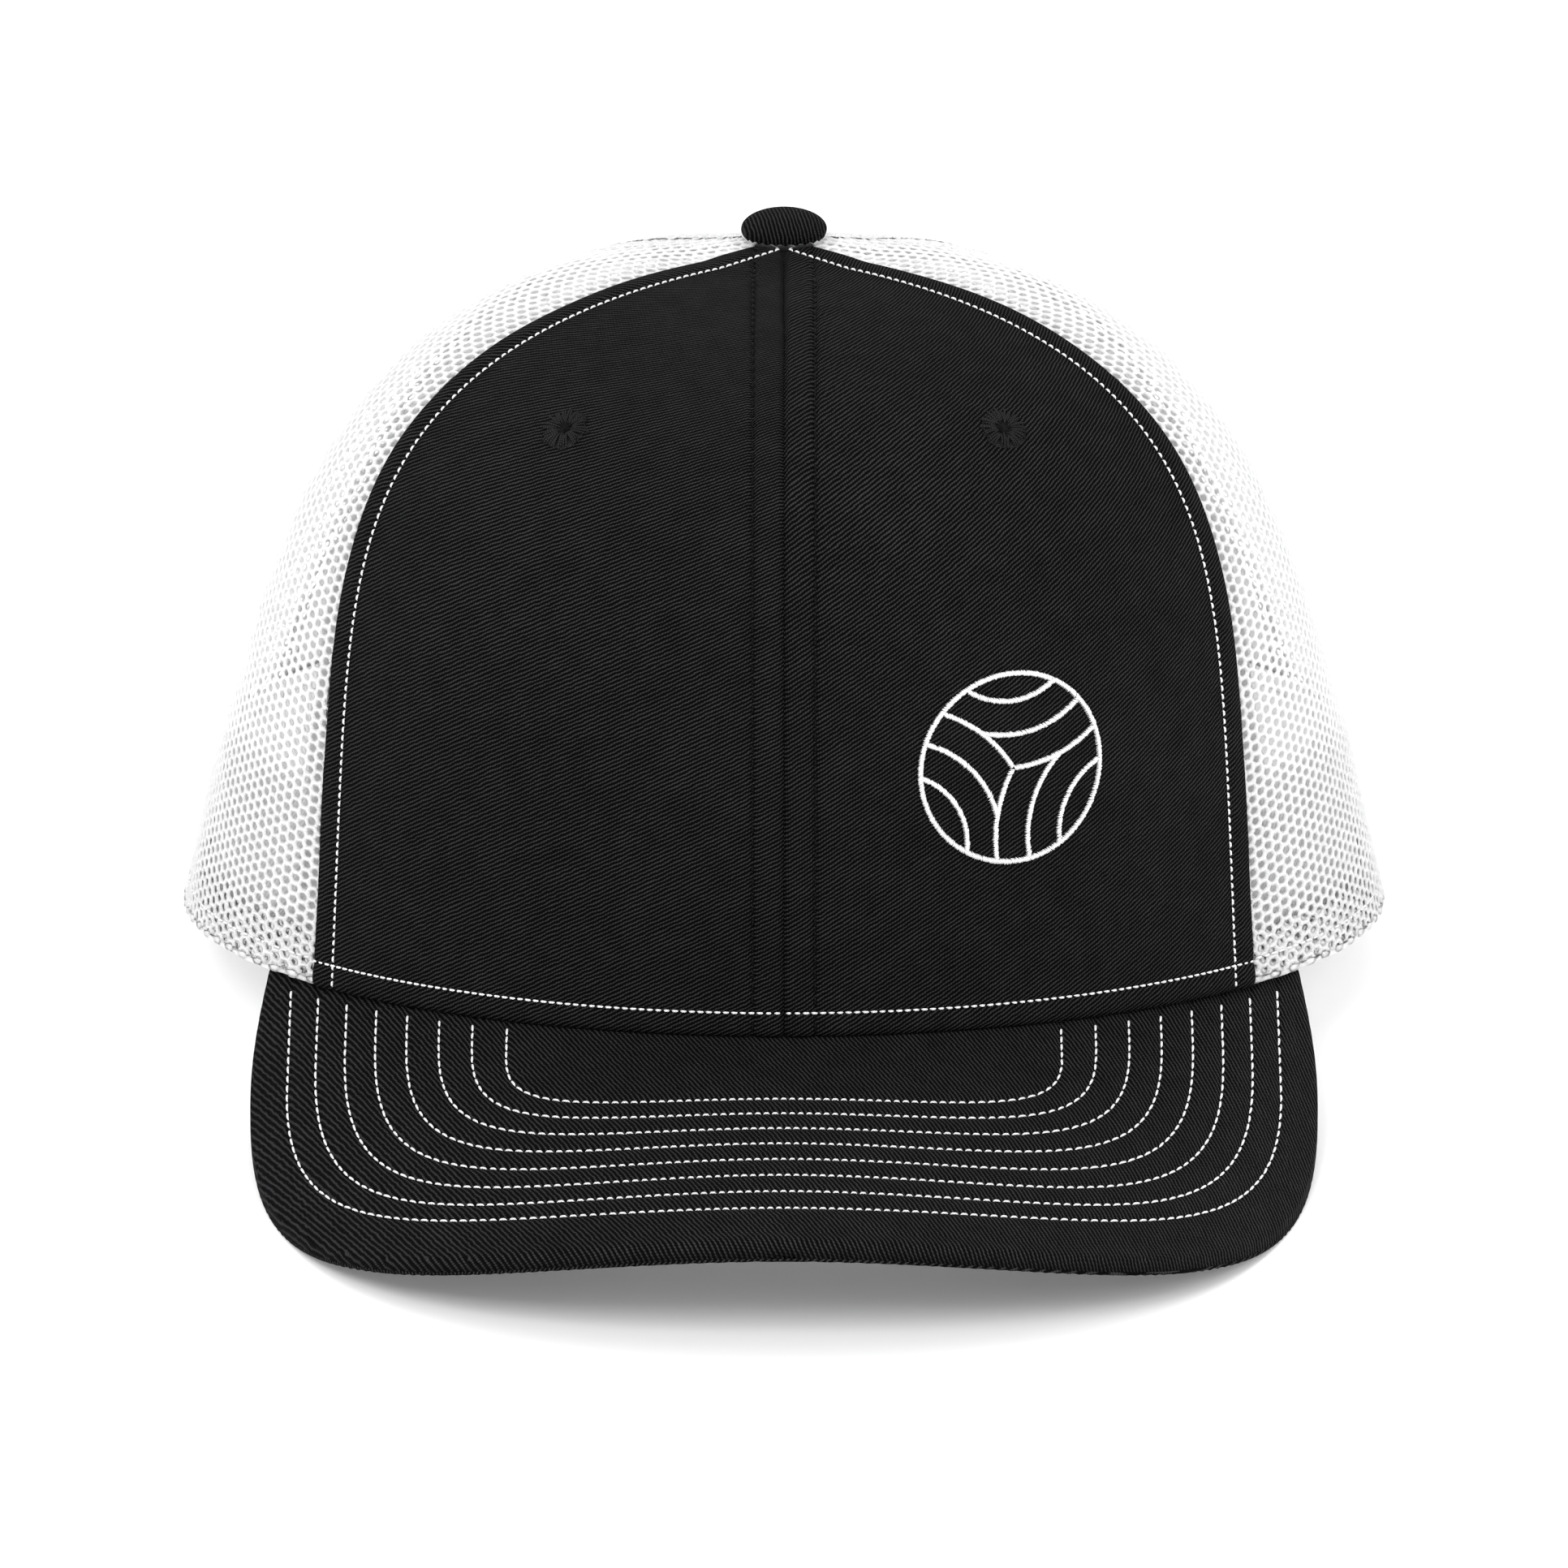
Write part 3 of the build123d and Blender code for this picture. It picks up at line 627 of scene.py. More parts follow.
LABEL_SATIN = plain_weave("label_satin", 0.3, (0.66, 0.66, 0.65), (0.9, 0.9, 0.89), 0.00004, 0.2)
NET_YARN = net_finish("net_yarn")
WHITE_THREAD = thread_finish("white_thread", (0.6, 0.6, 0.6), (0.95, 0.95, 0.95))
BLACK_THREAD = thread_finish("black_thread", (0.0006, 0.0006, 0.0007), (0.021, 0.021, 0.022), 0.1, 0.0)
SEAM_THREAD = thread_finish("seam_thread", (0.0004, 0.0004, 0.0005), (0.008, 0.008, 0.0085), 0.05, 0.0)
STRAP_PLASTIC = plastic("strap_plastic", (0.74, 0.74, 0.73), (0.84, 0.84, 0.83), 0.38)
BOARD_PLASTIC = plastic("board_plastic", (0.7, 0.7, 0.68), (0.8, 0.8, 0.78), 0.5)
STEEL = metal("pressed_steel")


# ---- front panels
PANELS = {"front_left": Panel(0, FRONT_SEAM), "front_right": Panel(-FRONT_SEAM, 0),
          "side_left": Panel(FRONT_SEAM, BACK_SEAM), "side_right": Panel(-BACK_SEAM, -FRONT_SEAM),
          "back_left": Panel(BACK_SEAM, 180), "back_right": Panel(-180, -BACK_SEAM)}


def seam_columns(panel, ys, band, fine, coarse):
    """Flat x of each grid column at each y: closely spaced near both edges."""
    half = panel.half_width(ys)
    wide = np.minimum(band, 0.96 * half)
    near = np.linspace(0, 1, fine) ** 1.15
    middle = np.linspace(0, 1, coarse + 2)[1:-1]
    left = -half[:, None] + wide[:, None] * near
    right = -left[:, ::-1]
    between = left[:, -1:] + (right[:, :1] - left[:, -1:]) * middle
    return np.concatenate([left, between, right], 1)


def cloth_lift(panel, x, y, centre_side):
    """Relief of a front panel: seam fold, groove, topstitch channels and a faint unevenness."""
    half = panel.half_width(y)
    to_centre = half - x if centre_side > 0 else half + x
    to_side = 2 * half - to_centre
    fade = np.clip(half / 6, 0, 1)
    lift = 0.3 * plateau(to_centre, 4.2, 0.6) + 0.4 * plateau(to_side, 3.7, 0.6)
    lift -= 0.9 * bump(to_centre, 0.5)
    lift -= 1.0 * bump(to_side, 0.45)
    for distance, channel in ((to_centre, 0.55), (to_side, 0.16)):
        lift -= channel * bump(distance - TOPSTITCH, 0.42)
        lift += 0.07 * np.sin(y * 2 * np.pi / 2.9 + np.sin(y / 4)) * bump(distance - TOPSTITCH, 1.8)
    lift -= 0.16 * bump(y - BASE_STITCH, 0.5)
    lift -= 0.5 * bump(y, 0.6)
    lift += 0.22 * plateau(y, 3.0, 0.6)
    lift += 0.10 * np.sin(x / 7.3 + y / 11.0) * np.sin(y / 8.1 - x / 17.0)
    return lift * fade - 0.25 * (1 - fade)


def panel_grid(panel, step, fine):
    """Flat x and y of a grid, its first axis across the panel and its second up.

    The rows are close together near the base, and a step apart above.
    """
    rows = np.linspace(6, panel.length, int(panel.length / step))
    ys = np.concatenate([np.linspace(0, 6, 16), rows[1:]])
    x = seam_columns(panel, ys, 9.0, fine, 46).T
    return x, np.broadcast_to(ys, x.shape)


def middle_of(node):
    """Middle of a CAD node's box, in cap millimetres."""
    low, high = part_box(node)
    return to_cap((np.array(low) + np.array(high)) / 2)


EYELETS = {side: middle_of("eyelet_" + side) for side in ("left", "right")}
EYELET_CUT = 2.3             # radius of the hole cut in the front panel's layers
TWILL_DEEP = 0.95            # how far in the back of the twill is
BUCKRAM_LIFTS = (-1.05, -1.75)


def front_layer(name, side, grid, lifts, material, node):
    """Closed sheet over a front panel, between two lifts, with the eyelet's hole cut out."""
    panel = PANELS["front_" + side]
    x, y = grid
    outer, inner = (panel.at(x, y, lift)[0] for lift in lifts)
    at_x, at_y = nearest_flat(panel, EYELETS[side])
    middle_x, middle_y = ((g[1:, 1:] + g[:-1, :-1]) / 2 for g in grid)
    keep = np.hypot(middle_x - at_x, middle_y - at_y) > EYELET_CUT
    points, faces, used = shell(outer, inner, keep)
    uv = np.concatenate([pairs(x, y)] * 2)[used]
    make_piece(name + side, points, faces, material, uv, replaces=[node + side])


for side, sign, material in (("left", -1, TWILL_LEFT), ("right", 1, TWILL_RIGHT)):
    x, y = panel_grid(PANELS["front_" + side], 0.8, 20)
    lift = cloth_lift(PANELS["front_" + side], x, y, sign)
    front_layer("front_twill_", side, (x, y), (lift, lift * 0.3 - TWILL_DEEP), material,
                "front_panel_")
    x, y = panel_grid(PANELS["front_" + side], 1.5, 7)
    ripple = 0.08 * np.sin(x / 5 + y / 9)
    front_layer("buckram_sheet_", side, (x, y), [lift + ripple for lift in BUCKRAM_LIFTS], BUCKRAM_WEAVE,
                "buckram_")


# ---- mesh panels
HOLE_WIDE, HOLE_TALL = 1.5, 1.1
MESH_DEPTH = -0.45           # lift of the netting's middle
HEM_TALL, HEM_THICK = 1.0, 0.9
HEM_FOLD, HEM_GAP = 8.0, 0.42   # how high the turned-in netting reaches, and how far in it is
MESH_TRIM = 2.5              # how far the back panels stop short of the rear opening's edge


def inside_arch(points, widen):
    """True where cap points lie within the rear opening grown by widen."""
    rise = (points[..., 2] - ARCH_SHOULDER) / (ARCH_HEIGHT - ARCH_SHOULDER + widen)
    reach = (ARCH_HALF + widen) * np.sqrt(np.clip(1 - np.clip(rise, 0, None) ** 2, 0, 1))
    return (np.abs(points[..., 0]) < reach) & (rise < 1) & (points[..., 1] > 0)


def net(panel, low, high, depth, swell, jitter, widen=None, grow=1.0, shift=0.0):
    """(points, faces, uv) of knitted net: rows of oval holes with an arch of yarn over each.

    The yarn is swell thick on each side of its depth, and its corners are moved at random by jitter.
    grow scales the holes, shift moves them sideways, and widen keeps them out of the rear opening.
    """
    wide, row = NET_PITCH, NET_ROW / 2
    # a cell's outline, shared with its neighbours, listed anticlockwise with its crest heights
    outline = np.array([[wide / 3, -row], [wide / 2, -row / 2], [wide * 2 / 3, 0], [wide / 2, row / 2],
                        [wide / 3, row], [0, row], [-wide / 3, row], [-wide / 2, row / 2], [-wide * 2 / 3, 0],
                        [-wide / 2, -row / 2], [-wide / 3, -row], [0, -row]])
    crest = np.array([1.1, 0.9, 1.1, 0.9, 1.1, 1.35, 1.1, 0.9, 1.1, 0.9, 1.1, 1.35])
    angle = np.arctan2(outline[:, 1] / HOLE_TALL, outline[:, 0] / HOLE_WIDE)
    hole = np.stack([HOLE_WIDE / 2 * np.cos(angle), HOLE_TALL / 2 * np.sin(angle)], 1) * grow
    centres = []
    for i in range(-40, 41):
        y = np.arange(low + row, high, NET_ROW) + row * (i % 2)
        x = np.full(len(y), i * NET_PITCH + shift)
        keep = np.abs(x) < panel.half_width(y) + 0.4 * NET_PITCH
        centres.append(np.stack([x[keep], y[keep]], 1))
    centres = np.concatenate(centres)
    if widen is not None:
        half = panel.half_width(centres[:, 1])
        place, _ = panel.at(np.clip(centres[:, 0], -half, half), centres[:, 1])
        centres = centres[~inside_arch(place, widen)]
    corner = (centres[:, None] + outline[None]).reshape(-1, 2)
    height = np.tile(crest, len(centres))
    key = np.round(corner / [NET_PITCH / 12, NET_ROW / 8]).astype(int)
    _, first, shared = np.unique(key, axis=0, return_index=True, return_inverse=True)
    shared = shared.reshape(len(centres), 12)
    flat = corner[first] + scatter(jitter, len(first), 2)
    uneven = 1 + scatter(0.07, len(centres), 1, 1)
    ring = (centres[:, None] + hole[None] * uneven).reshape(-1, 2)
    ring = ring + scatter(jitter, *ring.shape)
    count = len(flat)
    rise = swell * height[first] * (1 + scatter(0.12, count))
    flat_all = np.concatenate([flat, flat, ring])
    lift = np.concatenate([rise, -rise, 0.25 * swell * np.tile(np.sin(angle), len(centres))])
    half = panel.half_width(flat_all[:, 1])
    x = np.clip(flat_all[:, 0], -half, half)
    y = np.clip(flat_all[:, 1], 0.15, panel.length)
    sway = 0.12 * np.sin(x / 5.1 + y / 9.0) * np.sin(y / 6.3)
    points, _ = panel.at(x, y, depth + lift + sway)
    k = np.arange(12)
    n = (k + 1) % 12
    inner = 2 * count + np.arange(len(centres))[:, None] * 12
    top = np.stack([shared[:, k], shared[:, n], inner + n, inner + k], -1).reshape(-1, 4)
    bottom = top[:, ::-1].copy()
    bottom[bottom < count] += count
    rim = np.stack([shared[:, k], shared[:, n]], -1).reshape(-1, 2)
    low_end, high_end = rim.min(1), rim.max(1)
    _, where, uses = np.unique(low_end * count + high_end, return_index=True, return_counts=True)
    single = rim[where[uses == 1]]
    walls = np.stack([single[:, 1], single[:, 0], single[:, 0] + count, single[:, 1] + count], -1)
    faces = np.concatenate([top, bottom, walls])
    return points, faces.tolist(), flat_all


def folded_edge(panel, depth):
    """(points, faces, uv) of the folded lower edge of a mesh panel, outside the rear opening."""
    loop = rounded_loop(HEM_TALL, HEM_THICK, 16, 3)
    half = panel.half_width(HEM_TALL / 2)
    x = np.arange(-half + 0.05, half, 0.5)
    rise = HEM_TALL / 2 + 0.1 + 0.1 * np.sin(x / 3.1) + 0.07 * np.sin(x / 1.3)
    y = rise[:, None] + loop[None, :, 0]
    across = np.broadcast_to(x[:, None], y.shape)
    points, _ = panel.at(across, y, depth + loop[None, :, 1] + 0.08 * np.sin(across / 2.1))
    outside = ~inside_arch(points.mean(1), BINDING - 1.0)
    points, faces = sweep(points[outside])
    return points, faces, np.stack([across, y], -1)[outside].reshape(-1, 2)


for name, edge in (("side", None), ("back", MESH_TRIM)):
    for side in ("left", "right"):
        panel = PANELS[name + "_" + side]
        parts = [net(panel, 0.0, panel.length - 0.4, MESH_DEPTH, 0.26, 0.05, edge),
                 net(panel, 0.5, HEM_FOLD, MESH_DEPTH - HEM_GAP, 0.3, 0.3, edge, 0.75, NET_PITCH / 2),
                 folded_edge(panel, MESH_DEPTH - 0.15)]
        thread_piece(name + "_net_" + side, parts, NET_YARN, [name + "_mesh_" + side])


# ---- strips that follow the crown
def along_crown(azimuth, s, across, lift):
    """Points beside a line up the crown, at distances across it, and their outward normals."""
    turned = azimuth + np.degrees(across / np.maximum(crown_radius(azimuth, s), 4.0))
    return crown(turned, s, lift)


def climb(azimuth, low, stop, step):
    """Shares of the crown's height, evenly spaced up a line, from low mm to a radius of stop."""
    s = np.sin(np.linspace(math.asin(low / CROWN_HEIGHT), np.pi / 2, 3000))
    s = s[crown_radius(azimuth, s) >= stop]
    run = run_of(crown_raw(azimuth, s))
    s = np.interp(np.arange(0, run[-1], step), run, s)
    # the seam at the back starts above the rear opening
    return s[s * CROWN_HEIGHT > ARCH_HEIGHT + BINDING - 0.5] if azimuth == 180 else s


TAPE_DEPTH, TAPE_WIDTH, TAPE_THICK = 2.25, 13.6, 0.62


def seam_tape(node, azimuth):
    """Tape over a seam, on the inside of the crown, with a faint ripple along it."""
    s = climb(azimuth, 1.2, 14.8, 1.5)
    loop = rounded_loop(TAPE_WIDTH, TAPE_THICK, 28, 6)
    run = np.arange(len(s)) * 1.5
    ripple = 0.05 * np.sin(run / 2.1)[:, None] * np.sin(loop[:, 0] / 2.0 + 1)[None]
    pinch = -0.12 * (bump(np.abs(loop[:, 0]) - TOPSTITCH, 0.6) * np.sign(loop[:, 1]))[None]
    lift = loop[None, :, 1] - TAPE_DEPTH + ripple + pinch
    sections, _ = along_crown(azimuth, s[:, None], loop[None, :, 0], lift)
    tube_piece(node + "_cloth", sections, pairs(loop[None, :, 0], run[:, None]), TAPE_WEAVE,
               node)


SEAMS = {"front_seam_tape": 0, "front_left_seam_tape": FRONT_SEAM, "front_right_seam_tape": -FRONT_SEAM,
         "back_left_seam_tape": BACK_SEAM, "back_right_seam_tape": -BACK_SEAM, "back_seam_tape": 180}
for node, azimuth in SEAMS.items():
    seam_tape(node, azimuth)


def crown_stitches(azimuth, across, lift, low, stop, side=1.0):
    """Row of long stitches up the crown beside a seam; side -1 puts them on the inside."""
    s = climb(azimuth, low, stop, 0.5)
    points, normals = along_crown(azimuth, s, across, lift)
    return stitch_row(points, normals * side, **LONG_STITCH)


rows = []
for azimuth in SEAMS.values():
    for across in (-TOPSTITCH, TOPSTITCH):
        rows.append(crown_stitches(azimuth, across, -0.2 - TAPE_DEPTH, 5, 16, -1.0))
thread_piece("tape_stitches", rows, WHITE_THREAD)


# ---- topstitching on the crown
def panel_stitches(panel, x, y, lift, **more):
    points, normals = panel.at(x, y, lift)
    return stitch_row(points, normals, **more)


NET_STITCH_LIFT, NET_STITCH_HEIGHT = -0.42, 4.2
white_rows, black_rows, mesh_rows = [], [], []
for side, outward in (("left", 1), ("right", -1)):
    panel = PANELS["front_" + side]
    y = np.arange(0.4, panel.length, 0.4)
    half = panel.half_width(y)
    beside = outward * (half - TOPSTITCH)
    side_row, centre_row = half > 2.7, half > 9
    white_rows.append(panel_stitches(panel, beside[side_row], y[side_row], 0.12))
    black_rows.append(panel_stitches(panel, -beside[centre_row], y[centre_row], -0.12, **SEAM_STITCH))
    half = panel.half_width(BASE_STITCH)
    x = np.arange(-half + 0.1, half - 0.05, 0.4)
    white_rows.append(panel_stitches(panel, x, BASE_STITCH, 0.1))
    for across in (-TOPSTITCH, TOPSTITCH):
        mesh_rows.append(crown_stitches(outward * BACK_SEAM, across * outward, NET_STITCH_LIFT, 2, 9))
    for name in ("side_", "back_"):
        panel = PANELS[name + side]
        half = panel.half_width(NET_STITCH_HEIGHT)
        x = np.arange(-half + 0.5, half - 0.5, 0.5)
        points, normals = panel.at(x, NET_STITCH_HEIGHT, NET_STITCH_LIFT)
        if name == "back_":
            clear = ~inside_arch(points, BINDING)
            points, normals = points[clear], normals[clear]
        mesh_rows.append(stitch_row(points, normals, **LONG_STITCH))
for across in (-TOPSTITCH, TOPSTITCH):
    mesh_rows.append(crown_stitches(180, across, NET_STITCH_LIFT, 2, 9))
thread_piece("front_white_stitches", white_rows, WHITE_THREAD)
thread_piece("centre_black_stitches", black_rows, SEAM_THREAD)
thread_piece("mesh_stitches", mesh_rows, WHITE_THREAD)


# ---- sweatband and care label
BAND_LOW, BAND_TOP, BAND_END, BAND_RADIUS = 0.9, 33.0, 146, 95


def band_piece(name, azimuths, loop, wobble, material, node):
    """Band round the inside of the crown from a closed loop of (height, depth) points."""
    height, depth = loop[:, 0][None], loop[:, 1][None]
    azimuth = azimuths[:, None]
    sections, _ = crown(azimuth, height / CROWN_HEIGHT, -(depth + wobble(azimuth, height)))
    tube_piece(name, sections, pairs(np.radians(azimuth) * BAND_RADIUS, height), material, node)


def band_loop(low, high, middle, thick, roll):
    """Section of a doubled cloth band with a fuller fold at its top."""
    z = np.concatenate([np.linspace(low, low + 3, 7), np.linspace(low + 3, high - 4, 18)[1:],
                        high - 4 + 4 * np.sin(np.linspace(0, np.pi / 2, 9))[1:]])
    full = thick / 2 * (1 - 0.3 * bump(z - low - 3.4, 0.6)) + roll * bump(z - high + 1.6, 1.6)
    full *= np.sqrt(np.clip(1 - ((z - high + 1.4) / 1.4).clip(0, 1) ** 2, 0.0, 1))
    full = np.maximum(full, 0.04)
    inward, outward = np.stack([z, middle + full], 1), np.stack([z, middle - full], 1)
    return np.concatenate([inward, outward[::-1]])


def band_wobble(azimuth, height):
    """Small puckers above the stitch line and a slow wave at the free edge."""
    pucker = 0.09 * np.sin(azimuth * 2.1) * bump(height - 7, 4)
    return pucker + 0.14 * np.sin(np.radians(azimuth) * 9 + 1) * np.clip((height - 12) / 20, 0, 1)


band_piece("sweatband_cloth", np.linspace(-BAND_END, BAND_END, 420),
           band_loop(BAND_LOW, BAND_TOP, 3.5, 1.15, 0.16), band_wobble, BAND_TWILL,
           "sweatband")
rows = []
for height, lift in ((4.3, -4.02), (30.0, -4.2)):
    azimuths = np.linspace(1 - BAND_END, BAND_END - 1, 900)
    points, normals = crown(azimuths, height / CROWN_HEIGHT, lift)
    rows.append(stitch_row(points, -normals, **BAND_STITCH))
thread_piece("sweatband_stitches", rows, WHITE_THREAD)

LABEL_LOW, LABEL_HIGH, LABEL_START, LABEL_END = 8.2, 25.8, 122.5, 139.5
LABEL_INNER, LABEL_OUTER = 4.62, 4.42
loop_z = np.linspace(LABEL_LOW, LABEL_HIGH, 24)
curl = 0.5 * np.clip((12 - loop_z) / 4, 0, 1) ** 2
label = np.concatenate([np.stack([loop_z, LABEL_INNER + curl], 1),
                        np.stack([loop_z, LABEL_OUTER + curl], 1)[::-1]])
band_piece("care_label_satin", np.linspace(LABEL_START, LABEL_END, 40), label,
           lambda azimuth, height: 0.1 * np.sin(azimuth / 2.5), LABEL_SATIN, "care_label")


# ---- bound edge of the rear opening
def behind(x, z, lift=0.0):
    """(points, normals) of the crown's rear surface at a sideways place and a height."""
    x, z = np.broadcast_arrays(np.asarray(x, float), np.asarray(z, float))
    s = z / CROWN_HEIGHT
    low, high = np.full(x.shape, 100.0), np.full(x.shape, 180.0)
    for _ in range(40):
        azimuth = (low + high) / 2
        wide = crown_radius(azimuth, s) * np.sin(np.radians(azimuth)) > np.abs(x)
        low, high = np.where(wide, azimuth, low), np.where(wide, high, azimuth)
    return crown(np.where(x < 0, -low, low), s, lift)


def arch_line(widen):
    """(x, z) points along the opening's edge grown by widen, and the same count for any widen."""
    turn = np.linspace(0, np.pi, 110)
    bow = np.stack([(ARCH_HALF + widen) * np.cos(turn),
                    ARCH_SHOULDER + (ARCH_HEIGHT - ARCH_SHOULDER + widen) * np.sin(turn)], 1)
    leg = np.linspace(0.2, ARCH_SHOULDER, 16)[:-1]
    right = np.stack([np.full(15, ARCH_HALF + widen), leg], 1)
    left = np.stack([np.full(15, -ARCH_HALF - widen), leg[::-1]], 1)
    return np.concatenate([right, bow, left])


loop = rounded_loop(BINDING, 2.1, 30, 3.2)
loop[:, 0] += BINDING / 2
sections = []
for across, rise in loop:
    pinch = 0.75 if rise > 0 else 0.9
    line = arch_line(across)
    run = np.arange(len(line))
    dent = 1 - 0.35 * bump(across - BINDING + 1.4, 0.8)
    ripple = 0.06 * np.sin(run * 1.3 + across)
    points, _ = behind(line[:, 0], line[:, 1], rise * dent * pinch - 0.9 + ripple)
    sections.append(points)
sections = np.stack(sections, 1)[::-1]
tube_piece("opening_binding_cloth", sections, pairs(loop[None, :, 0], run_of(sections[:, 0])[:, None]),
           BINDING_WEAVE, "opening_binding")
line = arch_line(BINDING - 1.4)
rows = []
for lift, side in ((-0.35, 1), (-1.5, -1)):
    points, normals = behind(line[:, 0], line[:, 1], lift)
    rows.append(stitch_row(points, normals * side, **LONG_STITCH))
thread_piece("binding_stitches", rows, WHITE_THREAD)


# ---- button
BUTTON_RADIUS, BUTTON_TALL = 7.0, 3.35
button_middle = to_cap(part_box("button_cover")[1])[2] - BUTTON_TALL
turn = full_turn(144)
climb_angle = np.radians(np.concatenate([np.linspace(-50, 0, 12), np.linspace(0, 87, 18)[1:]]))
wide = BUTTON_RADIUS * np.cos(climb_angle)
tall = BUTTON_TALL * np.sin(climb_angle)
pleat = 0.16 * np.sin(turn * 24 + 0.8 * np.sin(turn * 3))[None] * bump(climb_angle + 0.75, 0.5)[:, None]
r = wide[:, None] + pleat
dome = np.stack([r * np.cos(turn)[None], APEX_Y + r * np.sin(turn)[None],
                 np.broadcast_to((button_middle + tall)[:, None], r.shape)], -1)
tube_piece("button_cloth", dome, pairs(dome[..., 0], -dome[..., 1] - dome[..., 2] * 1.4), TWILL_BUTTON,
           "button_cover")


# ---- embroidered eyelets
def frame_at(panel, x, y):
    """Point, sideways and upward directions and normal of a panel at flat coordinates."""
    step = np.array([0.0, 0.4, 0.0])
    points, normals = panel.at(x + step, y + np.array([0.0, 0.0, 0.4]))
    normal = normals[0]
    side = points[1] - points[0]
    side = unit(side - normal * (side @ normal))
    return points[0], side, np.cross(normal, side), normal


# section of the embroidered ring, (radius, height): over the twill, through both layers and behind them
EYELET_LOOP = np.array([[0.22, -1.9], [0.5, -1.2], [0.95, -0.5], [1.5, -0.05], [2.3, 0.06], [3.1, 0.0],
                        [3.6, -0.12], [3.9, -0.3], [3.6, -0.5], [2.5, -0.7], [2.2, -1.0], [2.2, -1.75],
                        [3.6, -1.85], [3.8, -2.05], [3.5, -2.25], [2.0, -2.35], [1.0, -2.25]])
EYELET_THREADS = 40
EYELET_SATIN = {"radius": 0.17, "arch": 0.6, "flat": 0.9, "sides": 6, "rings": 9}
for side in ("left", "right"):
    panel = PANELS["front_" + side]
    centre, across, upward, normal = frame_at(panel, *nearest_flat(panel, EYELETS[side]))
    turn = full_turn(96)
    r = EYELET_LOOP[None, :, 0] + 0.1 * np.sin(turn * 5 + 1)[:, None]
    h = np.broadcast_to(EYELET_LOOP[None, :, 1], r.shape)
    points = (centre + across * (r * np.cos(turn)[:, None])[..., None]
              + upward * (r * np.sin(turn)[:, None])[..., None] + normal * h[..., None])
    ring = *sweep(points, closed=True), pairs(r, np.degrees(turn)[:, None] / 10)
    count = EYELET_THREADS
    turn = (np.arange(count) + scatter(0.25, count)) * 2 * np.pi / count
    middle = 2.5 + scatter(0.12, count)
    outward = across * np.cos(turn)[:, None] + upward * np.sin(turn)[:, None]
    twist = np.cross(normal, outward) * scatter(0.12, count, 1)
    centres = centre + outward * middle[:, None] + normal * 0.14
    length = 3.1 + scatter(0.4, count)
    normals = np.broadcast_to(normal, outward.shape)
    satin = threads(centres, outward + twist, normals, length, **EYELET_SATIN)
    thread_piece("eyelet_thread_" + side, [ring, satin], BLACK_THREAD, ["eyelet_" + side])


# ---- ball emblem
EMBLEM_RADIUS, EMBLEM_LINE, EMBLEM_BEND, EMBLEM_STEP = 15.9, 0.9, 23.3, 5.5
EMBLEM_SATIN = {"radius": 0.14, "arch": 0.42, "flat": 0.9, "sides": 5, "rings": 7}
panel = PANELS["front_left"]
emblem_x, emblem_y = nearest_flat(panel, middle_of("ball_emblem"))
turn = np.linspace(0, 2 * np.pi, 800)
lines = [round_turn(turn) * (EMBLEM_RADIUS - EMBLEM_LINE / 2)]
for direction in (90, 210, 330):
    # each group of arcs bends round its own centre, and stops at the next group
    out, blocked = round_turn(np.radians([direction, direction + 120])) * EMBLEM_BEND
    for row in range(3):
        circle = out + round_turn(turn) * (EMBLEM_BEND - row * EMBLEM_STEP)
        kept = (np.hypot(*circle.T) < EMBLEM_RADIUS - EMBLEM_LINE * 0.7)
        kept &= np.hypot(*(circle - blocked).T) > EMBLEM_BEND + 0.1
        start = np.argmax(~kept)
        kept, circle = np.roll(kept, -start), np.roll(circle, -start, 0)
        edges = np.flatnonzero(np.diff(np.concatenate([[0], kept.astype(int), [0]])))
        for first, last in zip(edges[::2], edges[1::2]):
            if last - first > 8:
                lines.append(circle[first:last])
rows = []
for line in lines:
    where = resample(line, 0.24)
    flat = pick(line, where)
    ahead = unit(heading(line, where, 0.5))
    across = np.stack([ahead[:, 1], -ahead[:, 0]], 1) + ahead * 0.5
    flat = flat + scatter(0.03, *flat.shape)
    x, y = emblem_x + flat[:, 0], emblem_y + flat[:, 1]
    near, _ = panel.at(x + across[:, 0] * 0.3, y + across[:, 1] * 0.3)
    centre, normal = panel.at(x, y, 0.12)
    base, _ = panel.at(x, y)
    length = EMBLEM_LINE * (1.15 + scatter(0.1, len(flat)))
    rows.append(threads(centre, near - base, normal, length, **EMBLEM_SATIN))
thread_piece("ball_emblem_satin", rows, WHITE_THREAD, ["ball_emblem"])


# ---- visor
ROOT_WIDE, ROOT_DEEP = HALF_WIDTH - VISOR_TUCK, HALF_LENGTH - VISOR_TUCK


def visor_root(x):
    """How far ahead of the crown's front the visor starts, at a sideways place; negative is behind."""
    return ROOT_DEEP * np.sqrt(np.clip(1 - (x / ROOT_WIDE) ** 2, 0.01, 1)) - HALF_LENGTH


def visor_at(x, f, depth=0.0):
    """(points, upward normals) of the visor at a sideways place x and a distance f ahead."""
    def place(x, f):
        fall = VISOR_SLOPE + VISOR_CURL * x**2
        return np.stack([x, -HALF_LENGTH - f, -fall * (f - visor_root(x))], -1)
    p = place(x, f)
    normal = unit(np.cross(place(x + 0.05, f) - p, p - place(x, f + 0.05)))
    p[..., 2] -= depth
    return p, normal


def bow(half, front, shoulder, power, count):
    """Half of a superellipse in (x, f), from its shoulder to the middle of its front."""
    turn = np.linspace(0, np.pi / 2, count)
    return np.stack([half * np.cos(turn).clip(0) ** (2 / power),
                     shoulder + (front - shoulder) * np.sin(turn) ** (2 / power)], 1)


